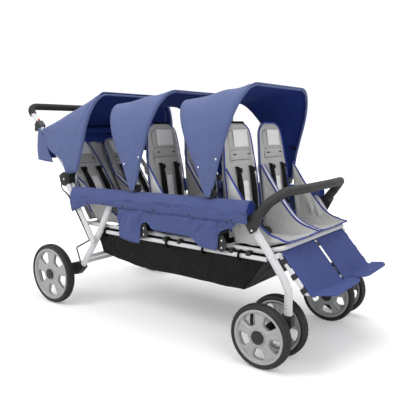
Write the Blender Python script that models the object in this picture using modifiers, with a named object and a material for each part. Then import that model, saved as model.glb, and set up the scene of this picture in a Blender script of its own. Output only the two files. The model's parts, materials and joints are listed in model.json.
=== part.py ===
"""Six-seat stroller: three rows of two seats on one tube frame.

The stroller faces +X, its left side is at +Y and the ground is z = 0. Sizes are in metres. Parts on the
left and right sides come from one function with side = +1 or -1.
"""

import math

import bmesh
import bpy
from mathutils import Matrix, Vector

# General fits
GAP = 0.0003
CLOTH = 0.003

# Wheels
REAR_WHEEL_RADIUS = 0.155
FRONT_WHEEL_RADIUS = 0.127
WHEEL_WIDTH = 0.045
TYRE_DEPTH = 0.023
RIM_FACE_SHARE = 0.92
RIM_SEAT_SHARE = 0.72
REAR_AXLE_X = -0.610
FRONT_AXLE_X = 0.659
CASTOR_X = 0.738
CASTOR_Y = 0.3085
TWIN_SPACING = 0.1374
REAR_WHEEL_Y = 0.3775
AXLE_RADIUS = 0.005
AXLE_PLAY = 0.0005
HUB_CAP_RADIUS = 0.027
HUB_RADIUS = 0.030
HUB_CAP_DEPTH = 0.004
WHEEL_STEPS = 24
SPOKES = 5

# Tube frame, seen from the side
FRAME_Y = 0.3085
LEG_DEEP = 0.036
LEG_ACROSS = 0.025
STRUT_DEEP = 0.032
STRUT_ACROSS = 0.019
UPPER_RAIL_RADIUS = 0.011
LOWER_RAIL_RADIUS = 0.0095
LOWER_RAIL_Z = 0.407
UPPER_RAIL_END_X = 0.565
UPPER_RAIL_KNEE_X = -0.486
FOLD_X = -0.536
FOLD_Z = 0.652
FOLD_HINGE_RADIUS = 0.036
FOLD_LEVER_ANGLE = math.radians(15)
LEVER_INSET = 0.011
STRUT_FOOT_X = -0.337
STRUT_FOOT_Z = 0.359
FRONT_LEG_FOOT_Z = 0.207
REAR_LEG_FOOT = (-0.447, 0.214)
MOUNT_LIP = 0.002
MOUNT_ACROSS = 0.032
AXLE_ROOT = 0.010
STRUT_EYE_LIP = 0.0005
CROSS_TUBE_RADIUS = 0.0105

# Seats
ROWS = 3
ROW_PITCH = 0.430
SEAT_Y = 0.138
FRONT_ROW_HINGE_X = 0.447
SEAT_TUBE_RADIUS = 0.010
SEAT_CROSS_RADIUS = 0.009
SEAT_TUBE_Z = 0.430
SEAT_FRONT_RUN = 0.253
SEAT_FRONT_RISE = 0.026
LIFT_AT_TUBE = 0.824
SLING_THICKNESS = 0.006
SLING_SIDE_GAP = 0.013
REAR_SLING_INSET = 0.017
WING_HEIGHT = 0.285
REAR_WING_HEIGHT = 0.200
WING_LIP = 0.012
SLING_INNER_Y = 0.014
SEAT_SAG = 0.004
BACK_LENGTH = 0.503
BACK_THICKNESS = 0.036
BACK_HALF_WIDTH = 0.122
BACK_TOP_HALF_WIDTH = 0.095
REAR_BACK_INSET = 0.014
BACK_START = 0.030
BACK_EYE_RADIUS = 0.0155
BACK_EYE_WIDTH = 0.010
BACK_EYE_Y = 0.075
BACK_BORE_SIDES = 8
UPRIGHT_LEAN = math.radians(8)
RECLINED_LEAN = math.radians(34)

# Handle
HANDLE_TUBE_RADIUS = 0.0125
HANDLE_LENGTH = 0.515
HANDLE_LEAN = math.radians(43.5)
HANDLE_BEND = 0.055
HANDLE_EYE_RADIUS = 0.024
GRIP_RADIUS = 0.0185
GRIP_DOWN = 0.004
SLIDER_BELOW_GRIP = 0.082
SLIDER_LENGTH = 0.040
SLIDER_WALL = 0.005

# Side panels
PANEL_REAR_X = -0.472
PANEL_FRONT_X = 0.572
PANEL_REAR_TOP = 0.616
PANEL_FRONT_TOP = 0.630
PANEL_HALF = 0.0285
PANEL_MIDDLE_Y = 0.3172
PANEL_HEM_Z = 0.548
PANEL_CORNER_DROP = 0.054
PANEL_INNER_HEM = 0.014
PANEL_WALL_STEPS = 3
PANEL_ARC_STEPS = 5
PANEL_STEPS = PANEL_WALL_STEPS + PANEL_ARC_STEPS + 1
RAIL_BELOW_PANEL = 0.0172
SKIRT_Y = 0.3345

# Canopies
CANOPY_INSIDE_PANEL = 0.0007
CANOPY_HALF_WIDTH = PANEL_MIDDLE_Y + PANEL_HALF - CANOPY_INSIDE_PANEL
CANOPY_TOP_HALF_WIDTH = 0.327
CANOPY_CORNER = (0.135, 0.225)
CANOPY_SAG = 0.008
REAR_CANOPY_SAG = 0.020
FOOT_SPREAD = 0.014
FOOT_SPREAD_END = 0.140
FOOT_TONGUE = 0.013
CANOPY_FRONT_LEAN = -math.radians(17.0)
CANOPY_FOOT = 0.030
WALL_STEPS = 4
CORNER_STEPS = 4
TOP_STEPS = 3
CANOPY_STEPS = 2 * (WALL_STEPS + CORNER_STEPS + TOP_STEPS)
BOW_RADIUS = 0.004
BOW_INSET = CLOTH / 2 + GAP + BOW_RADIUS * 1.08
CLIP_HEIGHT = 0.018
CLIP_HALF = 0.022
CLIP_ACROSS = 0.028
FRONT_CANOPY_X = 0.385
MIDDLE_CANOPY_X = -0.041
REAR_CANOPY_TIP = (-0.504, 0.690)
FLAP_DROP = 0.198
FLAP_SIDE_GAP = 0.008
CANOPY_BELOW_SLIDER = 0.038

# Bumper bar
BUMPER_RADIUS = 0.018
BUMPER_X = 0.708
BUMPER_Z = 0.669
BUMPER_BOW = 0.018
BRACKET_THICKNESS = 0.008
BRACKET_CORNER = 0.008
ARM_INSET_LOW = 0.010
ARM_INSET_HIGH = 0.014

# Footrest
FOOTREST_HINGE = (0.690, 0.430)
FOOTREST_LENGTH = 0.178
FOOTREST_LEAN = math.radians(40.7)
FOOTREST_TUBE_RADIUS = 0.007
FOOTREST_HALF_WIDTH = 0.304
PAD_THICKNESS = 0.006
PAD_GAP_HALF = 0.015
PAD_OUTER_Y = 0.287
LIP_REACH = 0.092

# Basket
BASKET_REAR_X = -0.352
BASKET_FRONT_X = 0.632
BASKET_DEPTH = 0.153
BASKET_FRONT_SLOPE = 0.115
BASKET_REAR_SLOPE = 0.020
BASKET_WALL_SLOPE = 0.022
BASKET_REAR_INSET = 0.006

# Brake
BRAKE_ROD_RADIUS = 0.0045
BRAKE_PIVOT = (-0.503, 0.198)
BRAKE_BAR = (-0.552, 0.302)

WHITE_FRAME = ((0.74, 0.75, 0.76), 0.38, 0.55)
BLACK_PLASTIC = ((0.015, 0.015, 0.017), 0.50, 0.0)
FOAM = ((0.022, 0.022, 0.024), 0.85, 0.0)
BLUE_CLOTH = ((0.105, 0.150, 0.390), 0.80, 0.0)
GREY_CLOTH = ((0.360, 0.360, 0.350), 0.90, 0.0)
BLACK_CLOTH = ((0.012, 0.013, 0.014), 0.75, 0.0)
RIM_PLASTIC = ((0.400, 0.400, 0.405), 0.45, 0.10)
TYRE_RUBBER = ((0.018, 0.018, 0.018), 0.80, 0.0)

parts = bpy.data.collections.new("six_seat_stroller")
cutters = bpy.data.collections.new("cutters")


def clear_scene():
    """Remove the objects of the start-up scene and link the two collections."""
    for old in list(bpy.data.objects):
        bpy.data.objects.remove(old, do_unlink=True)
    bpy.context.scene.collection.children.link(parts)
    bpy.context.scene.collection.children.link(cutters)


def side_name(stem, side):
    """The name of a piece on one side, as the person pushing the stroller sees it."""
    return stem + ("_left" if side > 0 else "_right")


def add_finish(obj, finish):
    """Give a piece its own Principled material."""
    color, roughness, metallic = finish
    material = bpy.data.materials.new(obj.name)
    material.use_nodes = True
    shader = material.node_tree.nodes["Principled BSDF"]
    shader.inputs["Base Color"].default_value = (*color, 1.0)
    shader.inputs["Roughness"].default_value = roughness
    shader.inputs["Metallic"].default_value = metallic
    obj.data.materials.clear()
    obj.data.materials.append(material)


def add_mesh(name, bm, finish=None, smooth=True):
    """Make an object from a bmesh, with its normals facing out."""
    bmesh.ops.recalc_face_normals(bm, faces=bm.faces[:])
    mesh = bpy.data.meshes.new(name)
    bm.to_mesh(mesh)
    bm.free()
    if smooth:
        mesh.shade_smooth()
        mesh.set_sharp_from_angle(angle=math.radians(40))
    obj = bpy.data.objects.new(name, mesh)
    parts.objects.link(obj)
    if finish:
        add_finish(obj, finish)
    return obj


def curve_to_mesh(curve_obj, finish):
    """Turn a curve object into a closed mesh object of the same name and place."""
    name = curve_obj.name
    bpy.context.view_layer.update()
    graph = bpy.context.evaluated_depsgraph_get()
    mesh = bpy.data.meshes.new_from_object(curve_obj.evaluated_get(graph))
    place = curve_obj.matrix_world.copy()
    bpy.data.objects.remove(curve_obj, do_unlink=True)
    bm = bmesh.new()
    bm.from_mesh(mesh)
    bpy.data.meshes.remove(mesh)
    bmesh.ops.remove_doubles(bm, verts=bm.verts[:], dist=0.00002)
    obj = add_mesh(name, bm, finish)
    obj.matrix_world = place
    return obj


def rounded_path(corners, bend, steps=4):
    """A path through corner points whose inner corners are arcs of radius bend."""
    points = [Vector(corners[0])]
    for before, here, after in zip(corners, corners[1:], corners[2:]):
        here = Vector(here)
        toward = (Vector(before) - here).normalized()
        away = (Vector(after) - here).normalized()
        half = toward.angle(away) / 2
        reach = bend / math.tan(half)
        centre = here + (toward + away).normalized() * bend / math.sin(half)
        start = (here + toward * reach - centre).normalized()
        end = (here + away * reach - centre).normalized()
        for step in range(steps + 1):
            points.append(centre + start.slerp(end, step / steps) * bend)
    points.append(Vector(corners[-1]))
    return points


def tube(name, points, radius, finish, squeeze=1.0, y=0.0, sides=8):
    """A tube along points. squeeze narrows it across, which makes an oval section in the XZ plane."""
    data = bpy.data.curves.new(name, "CURVE")
    data.dimensions = "3D"
    data.bevel_depth = radius
    data.bevel_resolution = (sides - 4) // 2
    data.use_fill_caps = True
    spline = data.splines.new("POLY")
    spline.points.add(len(points) - 1)
    for spline_point, point in zip(spline.points, points):
        spline_point.co = (*point, 1.0)
    obj = bpy.data.objects.new(name, data)
    parts.objects.link(obj)
    obj.location.y = y
    obj.scale.y = squeeze
    return curve_to_mesh(obj, finish)


def plate(name, outline, y, thickness, finish):
    """A flat piece whose outline is given in the XZ plane."""
    data = bpy.data.curves.new(name, "CURVE")
    data.dimensions = "2D"
    data.fill_mode = "BOTH"
    data.extrude = thickness / 2
    spline = data.splines.new("POLY")
    spline.points.add(len(outline) - 1)
    spline.use_cyclic_u = True
    for spline_point, (x, z) in zip(spline.points, outline):
        spline_point.co = (x, z, 0.0, 1.0)
    obj = bpy.data.objects.new(name, data)
    parts.objects.link(obj)
    obj.rotation_euler.x = math.pi / 2
    obj.location.y = y
    return curve_to_mesh(obj, finish)


def rounded_outline(corners, radius, steps=3):
    """A closed outline in the XZ plane with each corner rounded."""
    closed = [corners[-1], *corners, corners[0]]
    path = rounded_path([(x, 0.0, z) for x, z in closed], radius, steps)
    return [(point.x, point.z) for point in path[1:-1]]


def link_outline(start, end, start_radius, end_radius, steps=5):
    """The outline of a tapered link with a round eye at each end."""
    run = Vector((end[0] - start[0], end[1] - start[1]))
    heading = math.atan2(run.y, run.x)
    swing = math.acos((start_radius - end_radius) / run.length)
    outline = []
    for centre, radius, first, last in (
        (start, start_radius, heading + swing, heading + 2 * math.pi - swing),
        (end, end_radius, heading - swing, heading + swing),
    ):
        for step in range(steps + 1):
            angle = first + (last - first) * step / steps
            outline.append((centre[0] + radius * math.cos(angle), centre[1] + radius * math.sin(angle)))
    return outline


def cylinder(name, x, z, y_low, y_high, radius, finish=None, sides=16):
    """A round pin or disc whose axis runs across the stroller."""
    bm = bmesh.new()
    bmesh.ops.create_cone(bm, cap_ends=True, segments=sides, radius1=radius, radius2=radius,
                          depth=abs(y_high - y_low))
    bmesh.ops.rotate(bm, verts=bm.verts[:], matrix=Matrix.Rotation(math.pi / 2, 3, "X"))
    bmesh.ops.translate(bm, verts=bm.verts[:], vec=(x, (y_low + y_high) / 2, z))
    return add_mesh(name, bm, finish)


def box(name, low, high, finish=None):
    """A block between two corners."""
    bm = bmesh.new()
    size = Vector(high) - Vector(low)
    bmesh.ops.create_cube(bm, size=1.0)
    bmesh.ops.scale(bm, verts=bm.verts[:], vec=size)
    bmesh.ops.translate(bm, verts=bm.verts[:], vec=(Vector(high) + Vector(low)) / 2)
    return add_mesh(name, bm, finish, smooth=False)


def sheet(name, across, along, surface, thickness, finish):
    """A cloth or panel of even thickness. surface(u, v) gives its middle for u and v from 0 to 1."""
    bm = bmesh.new()
    bmesh.ops.create_grid(bm, x_segments=across, y_segments=along, size=1.0)
    for vert in bm.verts:
        vert.co = surface((vert.co.x + 1) / 2, (vert.co.y + 1) / 2)
    obj = add_mesh(name, bm, finish)
    solidify = obj.modifiers.new("thickness", "SOLIDIFY")
    solidify.thickness = thickness
    solidify.offset = 0.0
    return obj


def hang(obj, x, y, z):
    """Put a moving piece's origin on the axis it turns or slides on."""
    axis = Vector((x, y, z))
    obj.data.transform(Matrix.Translation(-(obj.matrix_basis.inverted() @ axis)))
    obj.location = axis
    return obj


def combine(base, others, operation="UNION"):
    """Join others to base, or cut them from it. They move to the cutters collection."""
    for other in others:
        parts.objects.unlink(other)
        cutters.objects.link(other)
        other.hide_render = True
        other.display_type = "WIRE"
        boolean = base.modifiers.new(other.name, "BOOLEAN")
        boolean.operation = operation
        boolean.solver = "EXACT"
        boolean.object = other
    return base


def turned(name, profile, steps, finish, x, y, z):
    """A turned ring. profile holds (radius, offset) points around its section, its axis runs across."""
    bm = bmesh.new()
    verts = [bm.verts.new((radius, 0.0, offset)) for radius, offset in profile]
    for first, second in zip(verts, verts[1:] + verts[:1]):
        bm.edges.new((first, second))
    mesh = bpy.data.meshes.new(name)
    bm.to_mesh(mesh)
    bm.free()
    obj = bpy.data.objects.new(name, mesh)
    parts.objects.link(obj)
    add_finish(obj, finish)
    screw = obj.modifiers.new("turn", "SCREW")
    screw.steps = steps
    screw.render_steps = steps
    screw.use_merge_vertices = True
    screw.merge_threshold = 0.00001
    screw.use_smooth_shade = True
    obj.rotation_euler.x = math.pi / 2
    obj.location = (x, y, z)
    return obj


def along_lean(start, lean, distance, lift=0.0):
    """A point (x, z) at distance up a line that leans back by lean. lift moves it forward of the line."""
    x = start[0] - math.sin(lean) * distance + math.cos(lean) * lift
    z = start[1] + math.cos(lean) * distance + math.sin(lean) * lift
    return x, z


def tyre(name, radius, x, y):
    """A tyre with rounded shoulders, open inside where the rim sits."""
    half = WHEEL_WIDTH / 2
    inner = radius - TYRE_DEPTH
    profile = [
        (inner, half * RIM_SEAT_SHARE),
        (radius - TYRE_DEPTH * 0.45, half),
        (radius, half * 0.62),
        (radius, -half * 0.62),
        (radius - TYRE_DEPTH * 0.45, -half),
        (inner, -half * RIM_SEAT_SHARE),
    ]
    return turned(name, profile, WHEEL_STEPS, TYRE_RUBBER, x, y, radius)


def rim(name, radius, x, y, outward):
    """A moulded rim: barrel, dished web with an opening between each pair of spokes, and hub."""
    half = WHEEL_WIDTH / 2
    outer = radius - TYRE_DEPTH - GAP
    bore = AXLE_RADIUS + AXLE_PLAY
    hub = HUB_RADIUS
    face = half * RIM_FACE_SHARE * outward
    back = -half * RIM_SEAT_SHARE * outward
    web_front = half * 0.55 * outward
    web_back = half * 0.18 * outward
    profile = [
        (bore, face),
        (hub, face),
        (outer - 0.014, web_front),
        (outer, half * RIM_SEAT_SHARE * outward),
        (outer, back),
        (outer - 0.008, web_back),
        (hub, web_back),
        (bore, back),
    ]
    if outward > 0:
        profile.reverse()
    wheel = turned(name, profile, WHEEL_STEPS, RIM_PLASTIC, x, y, radius)
    openings = []
    inner_edge = hub + 0.010
    outer_edge = outer - 0.017
    for spoke in range(SPOKES):
        middle = 2 * math.pi * (spoke + 0.5) / SPOKES + math.pi / 2
        outline = window_outline(middle, inner_edge, outer_edge)
        placed = [(x + px, radius + pz) for px, pz in outline]
        openings.append(plate(f"{name}_window_{spoke}", placed, y, WHEEL_WIDTH * 1.5, None))
    return combine(wheel, openings, "DIFFERENCE")


def window_outline(middle, inner_edge, outer_edge, steps=2):
    """One opening between two spokes, wider toward the tyre."""
    outline = []
    outer_half = math.radians(24)
    inner_half = math.radians(18)
    for step in range(steps + 1):
        angle = middle - outer_half + 2 * outer_half * step / steps
        outline.append((outer_edge * math.cos(angle), outer_edge * math.sin(angle)))
    for angle in (middle + inner_half, middle - inner_half):
        outline.append((inner_edge * math.cos(angle), inner_edge * math.sin(angle)))
    return outline


def wheels():
    """Two single wheels at the rear, and a twin pair on each front castor."""
    for side in (1, -1):
        name = side_name("rear", side)
        tyre(f"{name}_tyre", REAR_WHEEL_RADIUS, REAR_AXLE_X, side * REAR_WHEEL_Y)
        rim(f"{name}_rim", REAR_WHEEL_RADIUS, REAR_AXLE_X, side * REAR_WHEEL_Y, -side)
        for place, step in (("outer", 1), ("inner", -1)):
            name = side_name("front", side) + "_" + place
            y = side * (CASTOR_Y + step * TWIN_SPACING / 2)
            tyre(f"{name}_tyre", FRONT_WHEEL_RADIUS, FRONT_AXLE_X, y)
            rim(f"{name}_rim", FRONT_WHEEL_RADIUS, FRONT_AXLE_X, y, -side * step)


def castor_forks():
    """The swivel block under each front leg, its trailing arm and the axle through the twin wheels."""
    axle = (FRONT_AXLE_X, FRONT_WHEEL_RADIUS)
    top = FRONT_LEG_FOOT_Z - GAP
    arm_width = 0.030
    for side in (1, -1):
        name = side_name("castor_fork", side)
        y = side * CASTOR_Y
        outline = rounded_outline(
            [
                (CASTOR_X + 0.021, top),
                (CASTOR_X - 0.024, top),
                (CASTOR_X - 0.048, top - 0.018),
                (axle[0] - 0.018, axle[1] + 0.016),
                (axle[0] - 0.016, axle[1] - 0.016),
                (axle[0] + 0.012, axle[1] - 0.018),
                (CASTOR_X + 0.004, top - 0.062),
                (CASTOR_X + 0.021, top - 0.040),
            ],
            0.006,
            2,
        )
        fork = plate(name, outline, y, arm_width, BLACK_PLASTIC)
        outer = CASTOR_Y + TWIN_SPACING / 2 + WHEEL_WIDTH / 2 * RIM_FACE_SHARE + GAP
        inner = CASTOR_Y - TWIN_SPACING / 2 - WHEEL_WIDTH / 2 * RIM_FACE_SHARE - GAP
        seat = HUB_CAP_DEPTH / 2
        ends = (side * (inner - seat), side * (outer + seat))
        pieces = [cylinder(f"{name}_axle", *axle, *ends, AXLE_RADIUS, sides=10)]
        for place, start, step in (("outer", outer, 1), ("inner", inner, -1)):
            pieces.append(
                cylinder(f"{name}_cap_{place}", *axle, side * start, side * (start + step * HUB_CAP_DEPTH),
                         HUB_CAP_RADIUS, sides=12)
            )
        combine(hang(fork, CASTOR_X, y, FRONT_LEG_FOOT_Z), pieces)


def rear_wheel_mounts():
    """The black moulded arm that carries each rear wheel behind the foot of its leg."""
    axle = (REAR_AXLE_X, REAR_WHEEL_RADIUS)
    foot_x, foot_z = REAR_LEG_FOOT
    for side in (1, -1):
        name = side_name("rear_wheel_mount", side)
        lean = Vector((0.60, 0.80))
        across = Vector((lean.y, -lean.x))
        foot = Vector((foot_x, foot_z)) - lean * GAP
        edge = LEG_DEEP / 2 + MOUNT_LIP
        corners = [
            foot + across * edge,
            foot - across * edge,
            Vector((foot_x - 0.062, foot_z + 0.004)),
            Vector((axle[0] - 0.006, axle[1] + 0.020)),
            Vector((axle[0] - 0.020, axle[1])),
            Vector((axle[0] - 0.004, axle[1] - 0.020)),
            Vector((foot_x - 0.030, foot_z - 0.055)),
        ]
        outline = rounded_outline([tuple(corner) for corner in corners], 0.005, 2)
        mount = plate(name, outline, side * FRAME_Y, MOUNT_ACROSS, BLACK_PLASTIC)
        outer = REAR_WHEEL_Y + WHEEL_WIDTH / 2 * RIM_FACE_SHARE + GAP
        reach = outer + HUB_CAP_DEPTH / 2
        ends = (side * (FRAME_Y + AXLE_ROOT), side * reach)
        axle_pin = cylinder(f"{name}_axle", *axle, *ends, AXLE_RADIUS, sides=10)
        cap = cylinder(f"{name}_cap", *axle, side * outer, side * (outer + HUB_CAP_DEPTH), HUB_CAP_RADIUS,
                       sides=12)
        combine(mount, [axle_pin, cap])


def panel_top(x):
    """Height of a side panel's top edge, which climbs a little toward the front."""
    share = (x - PANEL_REAR_X) / (PANEL_FRONT_X - PANEL_REAR_X)
    return PANEL_REAR_TOP + (PANEL_FRONT_TOP - PANEL_REAR_TOP) * share


def panel_crest(x):
    """Height of the outside of a side panel's faceted top."""
    return panel_top(x) - PANEL_HALF * (1 - math.cos(math.pi / 2 / PANEL_ARC_STEPS)) + CLOTH / 2


def rail_z(x):
    """Height of an upper rail's centre line, which follows the panel that hangs on it."""
    return panel_top(x) - RAIL_BELOW_PANEL


def front_leg_line():
    """Corner points of a front leg, from under the upper rail to the castor."""
    return [
        (0.547, 0.0, rail_z(0.547) - UPPER_RAIL_RADIUS - 2 * GAP),
        (0.547, 0.0, 0.574),
        (0.601, 0.0, 0.498),
        (0.660, 0.0, 0.423),
        (0.717, 0.0, 0.343),
        (CASTOR_X, 0.0, 0.300),
        (CASTOR_X, 0.0, FRONT_LEG_FOOT_Z),
    ]


def rear_leg_line():
    """Corner points of a rear leg, from under the upper rail to the wheel mount."""
    foot_x, foot_z = REAR_LEG_FOOT
    return [
        (-0.222, 0.0, rail_z(-0.222) - UPPER_RAIL_RADIUS - 2 * GAP),
        (-0.222, 0.0, 0.566),
        (-0.254, 0.0, 0.500),
        (-0.300, 0.0, 0.420),
        (-0.352, 0.0, 0.340),
        (foot_x, 0.0, foot_z),
    ]


def legs():
    """The two front legs, and the rear legs with the two tubes that join them."""
    squeeze = LEG_ACROSS / LEG_DEEP
    for side in (1, -1):
        path = rounded_path(front_leg_line(), 0.02, 2)
        tube(side_name("front_leg", side), path, LEG_DEEP / 2, WHITE_FRAME, squeeze, side * FRAME_Y)
    path = rounded_path(rear_leg_line(), 0.02, 2)
    frame = tube("rear_leg_frame", path, LEG_DEEP / 2, WHITE_FRAME, squeeze, FRAME_Y)
    pieces = [tube("rear_leg_mirror", path, LEG_DEEP / 2, None, squeeze, -FRAME_Y)]
    for number, (x, z) in enumerate(((-0.412, 0.259), (-0.434, 0.229))):
        ends = [(x, -FRAME_Y, z), (x, FRAME_Y, z)]
        pieces.append(tube(f"rear_cross_{number}", ends, CROSS_TUBE_RADIUS, None))
    combine(frame, pieces)


def rails():
    """The upper rail inside each side panel, and the lower rail between the legs."""
    fold = Vector((FOLD_X, 0.0, FOLD_Z))
    knee = Vector((UPPER_RAIL_KNEE_X, 0.0, rail_z(UPPER_RAIL_KNEE_X)))
    start = fold + (knee - fold).normalized() * (FOLD_HINGE_RADIUS + GAP)
    end = Vector((UPPER_RAIL_END_X, 0.0, rail_z(UPPER_RAIL_END_X)))
    path = rounded_path([start, knee, end], 0.03, 2)
    rear_x = leg_surface(rear_leg_line(), LOWER_RAIL_Z, 1)
    front_x = leg_surface(front_leg_line(), LOWER_RAIL_Z, -1)
    for side in (1, -1):
        y = side * FRAME_Y
        tube(side_name("upper_rail", side), path, UPPER_RAIL_RADIUS, WHITE_FRAME, y=y)
        tube(side_name("lower_rail", side), [(rear_x, 0.0, LOWER_RAIL_Z), (front_x, 0.0, LOWER_RAIL_Z)],
             LOWER_RAIL_RADIUS, WHITE_FRAME, y=y)


def leg_surface(line, z, facing):
    """x where the end of a level tube at height z clears the leg on its +X or -X side."""
    reach = LEG_DEEP / 2
    for upper, lower in zip(line, line[1:]):
        if lower[2] <= z <= upper[2]:
            share = (z - lower[2]) / (upper[2] - lower[2])
            x = lower[0] + (upper[0] - lower[0]) * share
            slope = (upper[0] - lower[0]) / (upper[2] - lower[2])
            tilt = math.atan(slope)
            return x + facing * (reach / math.cos(tilt) + abs(slope) * LOWER_RAIL_RADIUS + 2 * GAP)
    raise ValueError("the tube is above or below the leg")


def struts():
    """The strut on each side from the fold hinge down to the outside of the rear leg."""
    y = FRAME_Y + LEG_ACROSS / 2 + GAP + STRUT_ACROSS / 2
    fold = Vector((FOLD_X, 0.0, FOLD_Z))
    foot = Vector((STRUT_FOOT_X, 0.0, STRUT_FOOT_Z))
    down = (foot - fold).normalized()
    start = fold + down * (FOLD_HINGE_RADIUS + GAP)
    for side in (1, -1):
        name = side_name("rear_strut", side)
        squeeze = STRUT_ACROSS / STRUT_DEEP
        strut = tube(name, [start, foot], STRUT_DEEP / 2, WHITE_FRAME, squeeze, side * y, 10)
        faces = (side * (y - STRUT_ACROSS / 2), side * (y + STRUT_ACROSS / 2))
        end = cylinder(f"{name}_end", foot.x, foot.z, *faces, STRUT_DEEP / 2 + STRUT_EYE_LIP, sides=14)
        combine(strut, [end])


def fold_hinges():
    """The round plastic joint on each side where handle, strut and upper rail meet."""
    inner = FRAME_Y - LEG_ACROSS / 2
    outer = FRAME_Y + LEG_ACROSS / 2 + GAP + STRUT_ACROSS
    for side in (1, -1):
        name = side_name("fold_hinge", side)
        hinge = cylinder(name, FOLD_X, FOLD_Z, side * inner, side * (outer - 0.003), FOLD_HINGE_RADIUS,
                         BLACK_PLASTIC, 20)
        boss = cylinder(f"{name}_boss", FOLD_X, FOLD_Z, side * (outer - 0.006), side * outer,
                        FOLD_HINGE_RADIUS * 0.62, sides=14)
        lever = FOLD_HINGE_RADIUS + 0.006
        lever_end = (FOLD_X - lever * math.cos(FOLD_LEVER_ANGLE), FOLD_Z + lever * math.sin(FOLD_LEVER_ANGLE))
        ears = []
        targets = ((lever_end, outer - LEVER_INSET), (REAR_CANOPY_TIP, bow_inner_face()))
        for number, (end, face) in enumerate(targets):
            outline = link_outline((FOLD_X, FOLD_Z), end, FOLD_HINGE_RADIUS * 0.8, 0.011, 4)
            middle = side * (inner + face) / 2
            ears.append(plate(f"{name}_ear_{number}", outline, middle, face - inner, None))
        combine(hinge, [boss, *ears])


def handle():
    """The U-shaped handle tube, its foam grip and the two release sliders."""
    y = FRAME_Y - LEG_ACROSS / 2 - GAP - HANDLE_TUBE_RADIUS
    fold = (FOLD_X, FOLD_Z)
    top_x, top_z = along_lean(fold, HANDLE_LEAN, HANDLE_LENGTH)
    corners = [
        (FOLD_X, y, FOLD_Z),
        (top_x, y, top_z),
        (top_x, -y, top_z),
        (FOLD_X, -y, FOLD_Z),
    ]
    path = rounded_path(corners, HANDLE_BEND, 5)
    bar = tube("handle_tube", path, HANDLE_TUBE_RADIUS, WHITE_FRAME)
    eyes = []
    for side in (1, -1):
        eyes.append(cylinder(f"handle_eye_{side}", FOLD_X, FOLD_Z, side * (y - HANDLE_TUBE_RADIUS),
                             side * (y + HANDLE_TUBE_RADIUS), HANDLE_EYE_RADIUS, sides=14))
    combine(hang(bar, FOLD_X, 0.0, FOLD_Z), eyes)

    grip_start = along_lean(fold, HANDLE_LEAN, HANDLE_LENGTH - HANDLE_BEND - GRIP_DOWN)
    corners[0] = (grip_start[0], y, grip_start[1])
    corners[3] = (grip_start[0], -y, grip_start[1])
    grip_path = rounded_path(corners, HANDLE_BEND, 5)
    grip = hang(tube("handle_grip", grip_path, GRIP_RADIUS, FOAM), FOLD_X, 0.0, FOLD_Z)
    bore = tube("handle_grip_bore", lengthened(grip_path), HANDLE_TUBE_RADIUS + GAP, None)
    combine(grip, [bore], "DIFFERENCE")

    for side in (1, -1):
        release_slider(side, y)


def lengthened(path, extra=0.01):
    """The same path, carried on a little past both ends."""
    first = path[0] + (path[0] - path[1]).normalized() * extra
    last = path[-1] + (path[-1] - path[-2]).normalized() * extra
    return [first, *path[1:-1], last]


def slider_place():
    """How far up the handle tube the middle of a release slider rests."""
    return HANDLE_LENGTH - HANDLE_BEND - GRIP_DOWN - SLIDER_BELOW_GRIP


def release_slider(side, y):
    """A sleeve with a finger trigger that slides up the handle tube."""
    name = side_name("release_slider", side)
    fold = (FOLD_X, FOLD_Z)
    half = SLIDER_LENGTH / 2
    wide = HANDLE_TUBE_RADIUS + GAP + SLIDER_WALL
    corners = []
    for distance, lift in (
        (-half, wide),
        (-half, -wide),
        (-half * 0.5, -wide - 0.018),
        (half * 0.1, -wide - 0.016),
        (half * 0.5, -wide),
        (half, -wide),
        (half, wide),
    ):
        corners.append(along_lean(fold, HANDLE_LEAN, slider_place() + distance, lift))
    slider = plate(name, rounded_outline(corners, 0.002, 1), side * y, 2 * wide, BLACK_PLASTIC)
    rest = along_lean(fold, HANDLE_LEAN, slider_place())
    hang(slider, rest[0], side * y, rest[1])
    low = along_lean(fold, HANDLE_LEAN, slider_place() - SLIDER_LENGTH)
    high = along_lean(fold, HANDLE_LEAN, slider_place() + SLIDER_LENGTH)
    path = [(low[0], side * y, low[1]), (high[0], side * y, high[1])]
    combine(slider, [tube(f"{name}_bore", path, HANDLE_TUBE_RADIUS + GAP * 2, None)], "DIFFERENCE")


def row_hinge_x(row):
    """x of the backrest hinge of a row, counted from the front."""
    return FRONT_ROW_HINGE_X - row * ROW_PITCH


def row_front_x(row):
    """x of the cross tube under a row's front edge."""
    return row_hinge_x(row) + SEAT_FRONT_RUN


def row_lean(row):
    """How far a row's backrests lean back: the last row is shown reclined."""
    return RECLINED_LEAN if row == ROWS - 1 else UPRIGHT_LEAN


def seat_frame():
    """Two long tubes between the legs with two cross tubes under each row of seats."""
    y = FRAME_Y - LEG_ACROSS / 2 - GAP - SEAT_TUBE_RADIUS
    rear = row_hinge_x(ROWS - 1) - 0.035
    front = row_front_x(0)
    front_z = SEAT_TUBE_Z + SEAT_FRONT_RISE
    corners = [
        (rear, y, SEAT_TUBE_Z),
        (front - 0.085, y, SEAT_TUBE_Z),
        (front, y, front_z),
        (front, -y, front_z),
        (front - 0.085, -y, SEAT_TUBE_Z),
        (rear, -y, SEAT_TUBE_Z),
    ]
    path = rounded_path(corners, 0.018, 3)
    frame = tube("seat_frame", path, SEAT_TUBE_RADIUS, WHITE_FRAME)
    crosses = []
    for row in range(ROWS):
        places = [row_hinge_x(row)]
        if row:
            places.append(row_front_x(row))
        for number, x in enumerate(places):
            ends = [(x, -y, SEAT_TUBE_Z), (x, y, SEAT_TUBE_Z)]
            crosses.append(tube(f"seat_cross_{row}_{number}", ends, SEAT_CROSS_RADIUS, None))
    combine(frame, crosses)


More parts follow.
